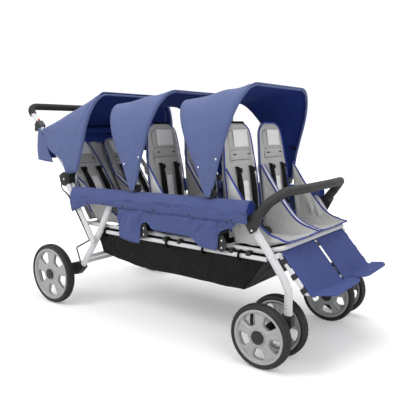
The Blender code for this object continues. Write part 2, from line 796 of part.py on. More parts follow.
def seat_slings():
    """The seat cloth of each row: two seats with raised wings and a ridge between them."""
    pan_z = SEAT_TUBE_Z + SEAT_CROSS_RADIUS + GAP + SLING_THICKNESS / 2 + SEAT_SAG
    for row in range(ROWS):
        hinge_x = row_hinge_x(row)
        rear_x = hinge_x + 0.022
        front_x = row_front_x(row) + 0.018
        front_lift = 0.0
        if row == 0:
            front_lift = (SEAT_FRONT_RISE + SEAT_TUBE_RADIUS - SEAT_CROSS_RADIUS) / LIFT_AT_TUBE
        half_width = FRAME_Y - LEG_ACROSS / 2 - SLING_SIDE_GAP
        lean = row_lean(row)
        wing_top = WING_HEIGHT
        if row == ROWS - 1:
            half_width -= REAR_SLING_INSET
            wing_top = REAR_WING_HEIGHT

        def surface(u, v, rear_x=rear_x, front_x=front_x, lean=lean, wing_top=wing_top, front_lift=front_lift,
                    half_width=half_width):
            """u runs from right to left, v from the backrest to the front edge."""
            pan = pan_z + front_lift * max(0.0, (v - 0.5) / 0.5) ** 1.2
            wing = wing_top * (1 - v) ** 1.9 + WING_LIP
            x = rear_x + (front_x - rear_x) * v
            height, y = wing_section(abs(2 * u - 1), wing, half_width)
            if height > 0:
                x -= math.tan(lean) * height * (1 - v) * 0.9
            sag = -SEAT_SAG * math.sin(math.pi * min(1.0, max(0.0, (y - 0.03) / 0.24)))
            side = 1 if u > 0.5 else -1
            return Vector((x, side * y, pan + height + (sag if height == 0 else 0.0)))

        sheet(f"seat_sling_row_{row + 1}", 20, 6, surface, SLING_THICKNESS, GREY_CLOTH)


def wing_section(out, wing, half_width):
    """Height and |y| across half a row, with out from 0 at the middle ridge to 1 at the outer wing top."""
    stations = (
        (0.0, wing, 0.0),
        (0.1, wing, SLING_INNER_Y),
        (0.2, wing * 0.5, SLING_INNER_Y + 0.004),
        (0.3, 0.0, SLING_INNER_Y + 0.012),
        (0.7, 0.0, half_width - 0.014),
        (0.8, wing * 0.33, half_width - 0.005),
        (0.9, wing * 0.66, half_width - 0.002),
        (1.0, wing, half_width),
    )
    for (start, low, low_y), (end, high, high_y) in zip(stations, stations[1:]):
        if out <= end + 1e-6:
            share = (out - start) / (end - start)
            return low + (high - low) * share, low_y + (high_y - low_y) * share
    return wing, half_width


def backrest_half_width(share):
    """Half the pad's width at a share of its height: straight, then tapered and rounded in at the head."""
    if share < 0.55:
        return BACK_HALF_WIDTH
    rise = (share - 0.55) / 0.45
    shoulder = BACK_HALF_WIDTH - (BACK_HALF_WIDTH - BACK_TOP_HALF_WIDTH) * rise
    return shoulder * (1 - 0.30 * max(0.0, (rise - 0.72) / 0.28) ** 2)


def backrest(name, row, y):
    """A crowned back pad with two eyes round the cross tube that it reclines on."""
    levels = 7
    inset = REAR_BACK_INSET if row == ROWS - 1 else 0.0
    hinge = (row_hinge_x(row), SEAT_TUBE_Z)
    lean = row_lean(row)
    section = 8
    bm = bmesh.new()
    bmesh.ops.create_cone(bm, cap_ends=True, segments=section, radius1=1.0, radius2=1.0, depth=1.0)
    uprights = [edge for edge in bm.edges if abs(edge.verts[0].co.z - edge.verts[1].co.z) > 0.5]
    bmesh.ops.subdivide_edges(bm, edges=uprights, cuts=levels - 1)
    for vert in bm.verts:
        share = vert.co.z + 0.5
        angle = math.atan2(vert.co.y, vert.co.x)
        half = backrest_half_width(share) - inset
        crown = 0.78 + 0.22 * math.sin(math.pi * min(1.0, share * 1.02))
        thick = BACK_THICKNESS / 2 * crown * (0.62 if share > 0.99 or share < 0.01 else 1.0)
        across = math.copysign(abs(math.sin(angle)) ** 0.62, math.sin(angle)) * half
        depth = math.copysign(abs(math.cos(angle)) ** 0.75, math.cos(angle)) * thick
        distance = BACK_START + (BACK_LENGTH - BACK_START) * share
        x, z = along_lean(hinge, lean, distance, depth)
        vert.co = (x, y + across, z)
    pad = add_mesh(name, bm, GREY_CLOTH)
    pieces = []
    bores = []
    for number, offset in enumerate((-BACK_EYE_Y, BACK_EYE_Y)):
        top = along_lean(hinge, lean, BACK_START + 0.045)
        outline = link_outline(hinge, top, BACK_EYE_RADIUS, 0.011, 3)
        pieces.append(plate(f"{name}_eye_{number}", outline, y + offset, BACK_EYE_WIDTH, None))
        low = y + offset - BACK_EYE_WIDTH
        high = y + offset + BACK_EYE_WIDTH
        bore = (SEAT_CROSS_RADIUS + GAP) / math.cos(math.pi / BACK_BORE_SIDES)
        bores.append(cylinder(f"{name}_bore_{number}", *hinge, low, high, bore, sides=BACK_BORE_SIDES))
    combine(hang(pad, hinge[0], y, hinge[1]), pieces)
    combine(pad, bores, "DIFFERENCE")


def backrests():
    """Six reclining backrests, one for each seat."""
    for row in range(ROWS):
        for side in (1, -1):
            backrest(side_name(f"backrest_row_{row + 1}", side), row, side * SEAT_Y)


def arch_point(share, half_width, top, corner, aside, under):
    """(y, height) on half an arch, with share 0 at its foot and 1 at the middle of the top.

    The wall and the oval corner take four parts each of the arch's eleven, and the level top takes three.
    The wall starts at the width of the canopy's foot and leans in to half_width at the corner. aside and
    under move the arch inward at the wall and at the top.
    """
    part = share * (WALL_STEPS + CORNER_STEPS + TOP_STEPS)
    across, up = corner
    if part <= WALL_STEPS:
        lean_in = (CANOPY_HALF_WIDTH - half_width) * (1 - part / WALL_STEPS)
        height = CANOPY_FOOT + (top - up - CANOPY_FOOT) * part / WALL_STEPS
        return half_width + lean_in - aside, height
    if part <= WALL_STEPS + CORNER_STEPS:
        angle = math.pi / 2 * (part - WALL_STEPS) / CORNER_STEPS
        y = half_width - across + (across - aside) * math.cos(angle)
        return y, top - up + (up - under) * math.sin(angle)
    left = (WALL_STEPS + CORNER_STEPS + TOP_STEPS - part) / TOP_STEPS
    return (half_width - across) * left, top - under


def bow_inner_face():
    """|y| of the faces that the bows' feet turn against."""
    return CANOPY_HALF_WIDTH - BOW_INSET - BOW_RADIUS - GAP


class Canopy:
    """One canopy: cloth stretched between a front arch and a rear arch that share a pivot line."""

    def __init__(self, name, pivot, front, rear, sag=CANOPY_SAG):
        """front and rear hold (lean, top height, half width, corner) of each arch."""
        self.name = name
        self.pivot = pivot
        self.front = front
        self.rear = rear
        self.sag = sag

    def hem(self, share, arch, spread, aside=0.0, under=0.0):
        """A point on one hem. Near its foot it stands off the pivot line by up to spread."""
        half_share = 1 - abs(2 * share - 1)
        side = 1 if share < 0.5 else -1
        lean, top, half_width, corner = arch
        y, height = arch_point(half_share, half_width, top, corner, aside, under)
        x, z = along_lean(self.pivot, lean, height, spread * max(0.0, 1 - height / FOOT_SPREAD_END))
        return Vector((x, side * y, z))

    def arch(self, share, blend):
        """A point of the cloth, stretched straight from the front hem at blend 0 to the rear one at 1."""
        front = self.hem(share, self.front, FOOT_SPREAD)
        rear = self.hem(share, self.rear, -FOOT_SPREAD)
        point = front.lerp(rear, blend)
        rise = max(0.0, 0.5 - abs(2 * share - 1)) * 2
        point.z -= self.sag * math.sin(math.pi * blend) * rise
        return point

    def surface(self, u, v):
        """The cloth with a rounded tongue over each pivot. u runs from left to right, v to the rear."""
        part = u * (CANOPY_STEPS + 2) - 1
        if 0 <= part <= CANOPY_STEPS:
            return self.arch(part / CANOPY_STEPS, v)
        foot = self.arch(0.0 if part < 0 else 1.0, v)
        x, z = self.pivot
        tip = Vector((x + (foot.x - x) * 0.6, foot.y, z - FOOT_TONGUE))
        return foot.lerp(tip, -part if part < 0 else part - CANOPY_STEPS)

    def cloth(self):
        """The cloth between the two hems."""
        x, z = self.pivot
        cloth = sheet(f"{self.name}_cloth", CANOPY_STEPS + 2, 4, self.surface, CLOTH, BLUE_CLOTH)
        return hang(cloth, x, 0.0, z)

    def bow_drop(self):
        """How far the bow lies below the front arch's top, so that its gap to the sloping roof is even."""
        front = self.arch(0.5, 0.0)
        roof = (self.arch(0.5, 0.25) - front).normalized()
        lean = self.front[0]
        down = Vector((math.sin(lean), 0.0, -math.cos(lean)))
        return BOW_INSET / down.cross(roof).length

    def bow(self):
        """The wire bow inside the front hem, down to the clips."""
        under = self.bow_drop()
        shares = [step / CANOPY_STEPS for step in range(CANOPY_STEPS + 1)]
        points = [self.hem(share, self.front, FOOT_SPREAD, BOW_INSET, under) for share in shares]
        foot_y = points[0].y
        x, z = self.pivot
        points = [Vector((x, foot_y, z)), *points, Vector((x, -foot_y, z))]
        return hang(tube(f"{self.name}_bow", points, BOW_RADIUS, BLACK_PLASTIC, sides=6), x, 0.0, z)


def bow_inner_face():
    """|y| of the faces that the bows' feet turn against."""
    return CANOPY_HALF_WIDTH - BOW_INSET - BOW_RADIUS - GAP


def clip_pivot(x):
    """(x, z) of the pivot in a canopy clip."""
    return x, panel_crest(x) + GAP + CLIP_HEIGHT


def canopies():
    """Three canopies and the clips that hold the first two on the side rails."""
    wide = (CANOPY_TOP_HALF_WIDTH, CANOPY_CORNER)
    rear = (math.radians(28.5), 0.437, *wide)
    front = Canopy("front_canopy", clip_pivot(FRONT_CANOPY_X), (CANOPY_FRONT_LEAN, 0.458, *wide), rear)
    middle = Canopy("middle_canopy", clip_pivot(MIDDLE_CANOPY_X), (CANOPY_FRONT_LEAN, 0.453, *wide), rear)
    for canopy, x in ((front, FRONT_CANOPY_X), (middle, MIDDLE_CANOPY_X)):
        canopy.cloth()
        canopy.bow()
        canopy_clips(canopy.name, x)
    rear_canopy()


def canopy_clips(name, x):
    """The pair of plastic clips that stand on the side panels and hold one canopy's bow."""
    pivot_x, pivot_z = clip_pivot(x)
    outer = bow_inner_face()
    inner = outer - CLIP_ACROSS
    base = panel_crest(x + CLIP_HALF) + GAP
    for side in (1, -1):
        outline = rounded_outline(
            [
                (pivot_x - CLIP_HALF, base),
                (pivot_x + CLIP_HALF, base),
                (pivot_x + 0.016, pivot_z + 0.014),
                (pivot_x - 0.016, pivot_z + 0.014),
            ],
            0.008,
            3,
        )
        middle = side * (inner + outer) / 2
        plate(side_name(f"{name}_clip", side), outline, middle, CLIP_ACROSS, BLACK_PLASTIC)


def rear_canopy():
    """The rear canopy reaches back over the handle tubes and ends in a flap behind the seats."""
    handle_y = FRAME_Y - LEG_ACROSS / 2 - GAP - HANDLE_TUBE_RADIUS
    over = HANDLE_TUBE_RADIUS + 2 * GAP + CLOTH / 2
    edge_y = handle_y + over
    edge_x, edge_z = along_lean((FOLD_X, FOLD_Z), HANDLE_LEAN, slider_place() - CANOPY_BELOW_SLIDER, over)
    tip_x, tip_z = REAR_CANOPY_TIP
    lean = math.atan2(tip_x - edge_x, edge_z - tip_z)
    top = math.hypot(edge_x - tip_x, edge_z - tip_z)
    canopy = Canopy("rear_canopy", REAR_CANOPY_TIP,
                    (-math.radians(18.5), 0.416, CANOPY_TOP_HALF_WIDTH, CANOPY_CORNER),
                    (lean, top, edge_y, (over, over)), REAR_CANOPY_SAG)
    cloth = canopy.cloth()
    canopy.bow()
    flap_half = handle_y - HANDLE_TUBE_RADIUS - FLAP_SIDE_GAP

    def flap(u, v):
        """u runs across, v down from the roof's rear edge."""
        drop = FLAP_DROP * v
        back = 0.075 * math.sin(v * 1.5)
        return Vector((edge_x + CLOTH - back, (2 * u - 1) * flap_half, edge_z + CLOTH - drop))

    combine(cloth, [sheet("rear_canopy_flap", 6, 4, flap, CLOTH, None)])


def side_panels():
    """The cloth panel over each upper rail, with the skirt that reaches down to the lower rail."""
    outer_y = PANEL_MIDDLE_Y + PANEL_HALF
    for side in (1, -1):
        def surface(u, v, side=side):
            """u runs from rear to front, v from the outer hem over the rail to the inner hem."""
            x = PANEL_REAR_X + (PANEL_FRONT_X - PANEL_REAR_X) * u
            top = panel_top(x)
            bottom = PANEL_HEM_Z - PANEL_CORNER_DROP * max(0.0, 1 - u / 0.16) ** 1.5
            shoulder = top - PANEL_HALF
            wall_end = PANEL_WALL_STEPS / PANEL_STEPS
            arc_end = 1 - 1 / PANEL_STEPS
            if v < wall_end:
                bulge = 0.002 * math.sin(math.pi * v / wall_end)
                z = bottom + (shoulder - bottom) * v / wall_end
                return Vector((x, side * (outer_y + bulge), z))
            if v < arc_end + 0.01:
                angle = math.pi * (v - wall_end) / (arc_end - wall_end)
                y = PANEL_MIDDLE_Y + PANEL_HALF * math.cos(angle)
                return Vector((x, side * y, shoulder + PANEL_HALF * math.sin(angle)))
            return Vector((x, side * (PANEL_MIDDLE_Y - PANEL_HALF), shoulder - PANEL_INNER_HEM))

        name = side_name("side_panel", side)
        panel = sheet(name, 8, PANEL_STEPS, surface, CLOTH, BLUE_CLOTH)
        skirt = plate(f"{name}_skirt", skirt_outline(), side * SKIRT_Y, CLOTH, None)
        strip = box(f"{name}_seam", (-0.145, side * (SKIRT_Y - CLOTH / 2), 0.557),
                    (0.518, side * outer_y, 0.562))
        combine(panel, [skirt, strip])


def skirt_outline():
    """The skirt below a side panel: two legs with an arch beside each."""
    return rounded_outline(
        [
            (-0.145, 0.564),
            (-0.147, 0.372),
            (-0.075, 0.362),
            (-0.012, 0.362),
            (-0.008, 0.470),
            (0.030, 0.494),
            (0.062, 0.462),
            (0.300, 0.458),
            (0.335, 0.424),
            (0.425, 0.420),
            (0.428, 0.480),
            (0.452, 0.506),
            (0.500, 0.522),
            (0.518, 0.542),
            (0.518, 0.564),
        ],
        0.007,
        2,
    )


def bumper():
    """The padded grab bar in front of the first row, with its two bracket plates."""
    leg_face = FRAME_Y + LEG_ACROSS / 2
    arm_y = leg_face + GAP + BRACKET_THICKNESS / 2
    corners = [
        (0.602, arm_y - ARM_INSET_LOW, 0.572),
        (0.648, arm_y - ARM_INSET_HIGH, 0.628),
        (BUMPER_X - BUMPER_BOW, 0.262, BUMPER_Z - 0.002),
        (BUMPER_X, 0.110, BUMPER_Z),
        (BUMPER_X, -0.110, BUMPER_Z),
        (BUMPER_X - BUMPER_BOW, -0.262, BUMPER_Z - 0.002),
        (0.648, -arm_y + ARM_INSET_HIGH, 0.628),
        (0.602, -arm_y + ARM_INSET_LOW, 0.572),
    ]
    bar = tube("bumper_bar", rounded_path(corners, 0.030, 2), BUMPER_RADIUS, FOAM)
    plates = []
    for side in (1, -1):
        rear_edge = [(0.575, 0.578), (0.541, 0.556), (0.577, 0.501)]
        front_edge = [(0.604, 0.517), (0.633, 0.574), (0.618, 0.600)]
        outline = rounded_outline(rear_edge + front_edge, BRACKET_CORNER, 2)
        name = side_name("bumper_bracket", side)
        plates.append(plate(name, outline, side * arm_y, BRACKET_THICKNESS, None))
    combine(bar, plates)


def footrest_point(distance, lift=0.0):
    """(x, z) at distance down the footrest. lift moves it to the upper side."""
    x = FOOTREST_HINGE[0] + math.sin(FOOTREST_LEAN) * distance + math.cos(FOOTREST_LEAN) * lift
    z = FOOTREST_HINGE[1] - math.cos(FOOTREST_LEAN) * distance + math.sin(FOOTREST_LEAN) * lift
    return x, z


def footrest():
    """The folding footrest: a tube frame that turns on its top tube, with a cloth pad for each seat."""
    radius = FOOTREST_TUBE_RADIUS
    hinge_x, hinge_z = FOOTREST_HINGE
    side_y = FOOTREST_HALF_WIDTH - radius
    low_x, low_z = footrest_point(FOOTREST_LENGTH)
    corners = [
        (hinge_x, side_y, hinge_z),
        (low_x, side_y, low_z),
        (low_x, -side_y, low_z),
        (hinge_x, -side_y, hinge_z),
    ]
    frame = tube("footrest_frame", rounded_path(corners, 0.016, 3), radius, WHITE_FRAME)
    knuckle = leg_distance(FOOTREST_HINGE, front_leg_line()) - LEG_DEEP / 2 - GAP
    pieces = [
        tube("footrest_top_tube", [(hinge_x, -side_y, hinge_z), (hinge_x, side_y, hinge_z)], radius, None),
        tube("footrest_centre_tube", [(hinge_x, 0.0, hinge_z), (low_x, 0.0, low_z)], radius * 0.9, None),
    ]
    for side in (1, -1):
        pieces.append(cylinder(f"footrest_knuckle_{side}", hinge_x, hinge_z, side * (FRAME_Y - 0.012),
                               side * (FRAME_Y + 0.008), knuckle, sides=12))
    combine(hang(frame, hinge_x, 0.0, hinge_z), pieces)

    for side in (1, -1):
        def surface(u, v, side=side):
            """u runs from the middle outward, v from the top hem to the front of the lip."""
            y = PAD_GAP_HALF + (PAD_OUTER_Y - PAD_GAP_HALF) * u
            lift = radius + GAP + PAD_THICKNESS / 2
            reach = FOOTREST_LENGTH + 0.004
            if v < 0.55:
                distance = 0.012 + (reach - 0.012) * v / 0.55
                x, z = footrest_point(distance, lift)
                return Vector((x, side * y, z))
            share = (v - 0.55) / 0.45
            x, z = footrest_point(reach, lift)
            round_off = 1 - 0.40 * abs(2 * u - 1) ** 6
            turn = min(1.0, share / 0.30)
            x += LIP_REACH * share * (1 - (1 - round_off) * share)
            z += 0.026 * share - 0.010 * math.sin(math.pi * turn) * (1 - share)
            return Vector((x, side * y, z))

        pad = sheet(side_name("footrest_pad", side), 8, 9, surface, PAD_THICKNESS, BLUE_CLOTH)
        hang(pad, hinge_x, 0.0, hinge_z)


def leg_distance(point, line):
    """Shortest distance from (x, z) to the centre line of a leg."""
    best = math.inf
    spot = Vector((point[0], 0.0, point[1]))
    for first, second in zip(line, line[1:]):
        start = Vector(first)
        run = Vector(second) - start
        share = min(1.0, max(0.0, (spot - start).dot(run) / run.length_squared))
        best = min(best, (spot - start - run * share).length)
    return best


def basket():
    """The cloth basket slung between the lower rails, with sloping ends and a sagging floor."""
    rim_y = FRAME_Y - LOWER_RAIL_RADIUS - GAP - CLOTH / 2
    rim_z = LOWER_RAIL_Z

    def surface(u, v):
        """u runs across, v from rear to front."""
        out = abs(2 * u - 1)
        side = 1 if u > 0.5 else -1
        wall = max(0.0, (out - 0.5) / 0.5)
        ends = max(0.0, (0.16 - v) / 0.16, (v - 0.84) / 0.16)
        rise = max(wall, ends)
        x = BASKET_REAR_X + (BASKET_FRONT_X - BASKET_REAR_X) * v
        if v > 0.84:
            x = BASKET_FRONT_X - BASKET_FRONT_SLOPE * (1 - ends)
        elif v < 0.16:
            x = BASKET_REAR_X + BASKET_REAR_SLOPE * (1 - ends)
        else:
            rear = BASKET_REAR_X + BASKET_REAR_SLOPE
            x = rear + (BASKET_FRONT_X - BASKET_FRONT_SLOPE - rear) * (v - 0.16) / 0.68
        narrow = BASKET_REAR_INSET * max(0.0, min(1.0, (-0.20 - x) / 0.06))
        floor_y = (rim_y - BASKET_WALL_SLOPE) * min(1.0, out / 0.5)
        y = floor_y if wall == 0 else rim_y - BASKET_WALL_SLOPE * (1 - wall)
        y -= narrow
        sag = 1 - 0.22 * max(0.0, (-0.05 - x) / 0.30) ** 1.2
        floor_z = rim_z - BASKET_DEPTH * sag
        return Vector((x, side * y, floor_z + (rim_z - floor_z) * rise))

    sheet("basket", 8, 12, surface, CLOTH, BLACK_CLOTH)


def brake_bar():
    """The bent rod between the rear wheel mounts that the foot presses."""
    inner = FRAME_Y - MOUNT_ACROSS / 2 - GAP
    pivot_x, pivot_z = BRAKE_PIVOT
    bar_x, bar_z = BRAKE_BAR
    corners = [
        (pivot_x, inner, pivot_z),
        (pivot_x, inner - 0.014, pivot_z),
        (bar_x, inner - 0.026, bar_z - 0.022),
        (bar_x, inner - 0.110, bar_z),
        (bar_x, -inner + 0.110, bar_z),
        (bar_x, -inner + 0.026, bar_z - 0.022),
        (pivot_x, -inner + 0.014, pivot_z),
        (pivot_x, -inner, pivot_z),
    ]
    bar = tube("brake_bar", rounded_path(corners, 0.008, 2), BRAKE_ROD_RADIUS, WHITE_FRAME, sides=6)
    hang(bar, pivot_x, 0.0, pivot_z)


def build():
    """Model every piece of the stroller."""
    clear_scene()
    wheels()
    castor_forks()
    rear_wheel_mounts()
    legs()
    rails()
    struts()
    fold_hinges()
    handle()
    seat_frame()
    seat_slings()
    backrests()
    canopies()
    side_panels()
    bumper()
    footrest()
    basket()
    brake_bar()
    bpy.context.view_layer.update()


build()
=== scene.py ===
"""Six-seat stroller: cloth, padding, wheels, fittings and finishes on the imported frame.

The stroller faces +X, its left side is at +Y and the ground is z = 0. Sizes are in metres.
"""

import json
import logging
import math
from dataclasses import dataclass, field
from enum import Enum
from functools import cache, partial
from typing import Callable, Iterable, Sequence

import bmesh
import bpy
from mathutils import Matrix, Vector, noise

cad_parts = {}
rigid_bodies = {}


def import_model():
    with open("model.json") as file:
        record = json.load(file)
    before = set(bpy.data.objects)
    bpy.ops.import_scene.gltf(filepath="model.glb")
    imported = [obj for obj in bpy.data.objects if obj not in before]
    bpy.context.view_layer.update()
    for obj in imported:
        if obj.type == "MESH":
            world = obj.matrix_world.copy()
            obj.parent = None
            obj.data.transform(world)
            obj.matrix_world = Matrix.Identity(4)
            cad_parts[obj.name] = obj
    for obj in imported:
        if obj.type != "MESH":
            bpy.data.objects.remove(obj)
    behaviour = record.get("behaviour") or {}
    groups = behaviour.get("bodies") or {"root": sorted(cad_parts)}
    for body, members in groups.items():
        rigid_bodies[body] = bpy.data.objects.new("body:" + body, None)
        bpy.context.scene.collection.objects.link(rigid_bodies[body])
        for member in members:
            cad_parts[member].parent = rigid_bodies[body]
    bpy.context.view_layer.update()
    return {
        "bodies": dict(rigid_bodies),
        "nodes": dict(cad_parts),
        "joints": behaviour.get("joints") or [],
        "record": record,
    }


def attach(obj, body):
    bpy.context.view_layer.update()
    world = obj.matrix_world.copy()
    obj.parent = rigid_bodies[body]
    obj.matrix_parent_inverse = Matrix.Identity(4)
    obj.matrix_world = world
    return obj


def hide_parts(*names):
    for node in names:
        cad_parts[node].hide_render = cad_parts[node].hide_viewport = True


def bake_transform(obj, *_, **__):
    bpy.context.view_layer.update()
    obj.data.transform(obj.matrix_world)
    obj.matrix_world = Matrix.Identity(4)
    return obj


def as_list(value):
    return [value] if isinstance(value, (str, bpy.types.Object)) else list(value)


log = logging.getLogger("stroller")

Color = tuple[float, float, float]
Surface = Callable[[float, float], Vector]
Place = tuple[float, float]

FRAME_Y = 0.3085
CLOTH_THICKNESS = 0.0024
HALF_ARCH = 11
MERGE_DISTANCE = 0.00001
COLOR_A, COLOR_B, COLOR_RESULT = 6, 7, 2
PANEL_REAR = -0.472
PANEL_FRONT = 0.572
PANEL_HALF = 0.0285
HANDLE_FOLD = (-0.536, 0.652)
HANDLE_LEAN = math.radians(43.5)
HANDLE_Y = 0.2832
REAR_CLIP = (-0.504, 0.690)
SIDEWAYS = Vector((0.0, 1.0, 0.0))
UPWARD = Vector((0.0, 0.0, 1.0))
OFF_BACK = Vector((1.0, 0.0, 0.3))
OFF_STRAP = Vector((1.0, 0.0, 0.2))


class Side(Enum):
    """A side of the stroller, with the sign of its y."""

    LEFT = 1
    RIGHT = -1

    def named(self, stem: str) -> str:
        """The name of a piece on this side."""
        return f"{stem}_{self.name.lower()}"

    def at(self, x: float, y: float, z: float) -> Vector:
        """The point at x, at a distance y out to this side, and at z."""
        return Vector((x, self.value * y, z))


# Nodes and finishes


class Board:
    """Adds and links the nodes of one node tree."""

    def __init__(self, tree: bpy.types.NodeTree) -> None:
        """Keep the tree that the nodes go into."""
        self.tree = tree

    def add(self, kind: str, **settings: object) -> bpy.types.Node:
        """Add a node.

        Args:
            kind: The node's type.
            settings: The values of its properties.

        Returns:
            The node.
        """
        node = self.tree.nodes.new(kind)
        for key, value in settings.items():
            setattr(node, key, value)
        return node

    def join(self, source: bpy.types.NodeSocket, target: bpy.types.NodeSocket) -> None:
        """Link one socket to another."""
        self.tree.links.new(source, target)

    def math(self, operation: str, first: object, second: object = None) -> bpy.types.NodeSocket:
        """Add a Math node.

        Args:
            operation: The node's operation.
            first: A socket or a number.
            second: A socket or a number, where the operation takes two.

        Returns:
            The node's output.
        """
        node = self.add("ShaderNodeMath", operation=operation)
        for socket, value in zip(node.inputs, (first, second)):
            if isinstance(value, bpy.types.NodeSocket):
                self.join(value, socket)
            elif value is not None:
                socket.default_value = value
        return node.outputs[0]

    def noise(self, place: bpy.types.NodeSocket, scale: float, detail: float = 2.0,
              distortion: float = 0.0) -> bpy.types.NodeSocket:
        """Add a noise texture.

        Args:
            place: Where the noise is read.
            scale: How fine it is.
            detail: How many finer layers it has.
            distortion: How far it is bent.

        Returns:
            The noise's value.
        """
        node = self.add("ShaderNodeTexNoise")
        for word, value in (("Scale", scale), ("Detail", detail), ("Distortion", distortion)):
            node.inputs[word].default_value = value
        self.join(place, node.inputs["Vector"])
        return node.outputs["Fac"]

    def scaled(self, place: bpy.types.NodeSocket, factor: bpy.types.NodeSocket) -> bpy.types.NodeSocket:
        """Scale a place.

        Args:
            place: The coordinates.
            factor: What they are multiplied by.

        Returns:
            The scaled coordinates.
        """
        node = self.add("ShaderNodeVectorMath", operation="SCALE")
        self.join(place, node.inputs[0])
        self.join(factor, node.inputs["Scale"])
        return node.outputs[0]

    def blend(self, share: bpy.types.NodeSocket, first: Color, second: Color) -> bpy.types.NodeSocket:
        """Mix two colours.

        Args:
            share: The second colour's share.
            first: The first colour.
            second: The second colour.

        Returns:
            The mixed colour.
        """
        node = self.add("ShaderNodeMix", data_type="RGBA")
        node.inputs[COLOR_A].default_value = (*first, 1.0)
        node.inputs[COLOR_B].default_value = (*second, 1.0)
        self.join(share, node.inputs["Factor"])
        return node.outputs[COLOR_RESULT]

    def bump(self, height: bpy.types.NodeSocket, distance: float,
             below: bpy.types.NodeSocket | None = None) -> bpy.types.NodeSocket:
        """Add a Bump node.

        Args:
            height: The height of the bumps, from 0 to 1.
            distance: How high 1 is, in metres.
            below: The normal of the bumps that these lie on.

        Returns:
            The bumped normal.
        """
        node = self.add("ShaderNodeBump")
        node.inputs["Strength"].default_value = 1.0
        node.inputs["Distance"].default_value = distance
        self.join(height, node.inputs["Height"])
        if below is not None:
            self.join(below, node.inputs["Normal"])
        return node.outputs["Normal"]


class Effects:
    """The shader effects that several finishes share, each built once as a node group."""

    @staticmethod
    def group(name: str, inputs: Sequence[tuple[str, str]],
              outputs: Sequence[str]) -> tuple[Board, bpy.types.Node, bpy.types.Node]:
        """Start a node group.

        Args:
            name: The group's name.
            inputs: Name and socket type of each input.
            outputs: Name of each value that it puts out.

        Returns:
            The board of its tree, its input node and its output node.
        """
        tree = bpy.data.node_groups.new(name, "ShaderNodeTree")
        for label, kind in inputs:
            tree.interface.new_socket(label, in_out="INPUT", socket_type=kind)
        for label in outputs:
            tree.interface.new_socket(label, in_out="OUTPUT", socket_type="NodeSocketFloat")
        board = Board(tree)
        return board, board.add("NodeGroupInput"), board.add("NodeGroupOutput")

    @classmethod
    @cache
    def weave(cls) -> bpy.types.NodeTree:
        """Crossing threads, with the uneven tone and soft creases of woven cloth.

        Returns:
            The group, which puts out the threads' height, the tone and the creases' height.
        """
        inputs = (("Place", "NodeSocketVector"), ("Threads", "NodeSocketFloat"),
                  ("Creases", "NodeSocketFloat"))
        board, given, out = cls.group("Woven threads", inputs, ("Threads", "Tone", "Creases"))
        place = given.outputs["Place"]
        split = board.add("ShaderNodeSeparateXYZ")
        board.join(place, split.inputs[0])
        warp = board.math("ADD", split.outputs["X"], split.outputs["Z"])
        weft = board.math("SUBTRACT", split.outputs["Y"], split.outputs["Z"])
        waves = []
        for run in (warp, weft):
            turns = board.math("MULTIPLY", run, given.outputs["Threads"])
            waves.append(board.math("SINE", board.math("MULTIPLY", turns, math.pi)))
        board.join(board.math("MULTIPLY", *waves), out.inputs["Threads"])
        broad = board.math("MULTIPLY", board.noise(place, 9.0, 4.0), 0.65)
        fine = board.math("MULTIPLY", board.noise(place, 420.0), 0.35)
        board.join(board.math("ADD", broad, fine), out.inputs["Tone"])
        creased = board.noise(board.scaled(place, given.outputs["Creases"]), 1.0, 3.0, 0.9)
        board.join(creased, out.inputs["Creases"])
        return board.tree

    @classmethod
    @cache
    def grain(cls) -> bpy.types.NodeTree:
        """The fine grain of moulded plastic, rubber and paint, with faint scuffs and dust.

        Returns:
            The group, which puts out the grain's height, the scuffs and the dust.
        """
        inputs = (("Place", "NodeSocketVector"), ("Grains", "NodeSocketFloat"))
        board, given, out = cls.group("Moulded grain", inputs, ("Grain", "Scuffs", "Dust"))
        place = given.outputs["Place"]
        for word, spot, scale, detail in (("Grain", board.scaled(place, given.outputs["Grains"]), 1.0, 3.0),
                                          ("Scuffs", place, 55.0, 5.0), ("Dust", place, 12.0, 3.0)):
            board.join(board.noise(spot, scale, detail), out.inputs[word])
        return board.tree


@dataclass(frozen=True)
class Finish:
    """What every finish has: a name, a colour, how rough it is and its material slot in the record."""

    name: str
    color: Color
    roughness: float
    slot: str

    def start(self) -> tuple[bpy.types.Material, Board, bpy.types.Node]:
        """Start the material.

        Returns:
            The material, the board of its nodes and its Principled shader.
        """
        material = bpy.data.materials.new(self.name)
        material.use_nodes = True
        board = Board(material.node_tree)
        shader = material.node_tree.nodes["Principled BSDF"]
        shader.inputs["Roughness"].default_value = self.roughness
        return material, board, shader

    def place(self, board: Board, by_uv: bool) -> bpy.types.NodeSocket:
        """The coordinates of the pattern: the cloth's own, or the object's."""
        return board.add("ShaderNodeTexCoord").outputs["UV" if by_uv else "Object"]


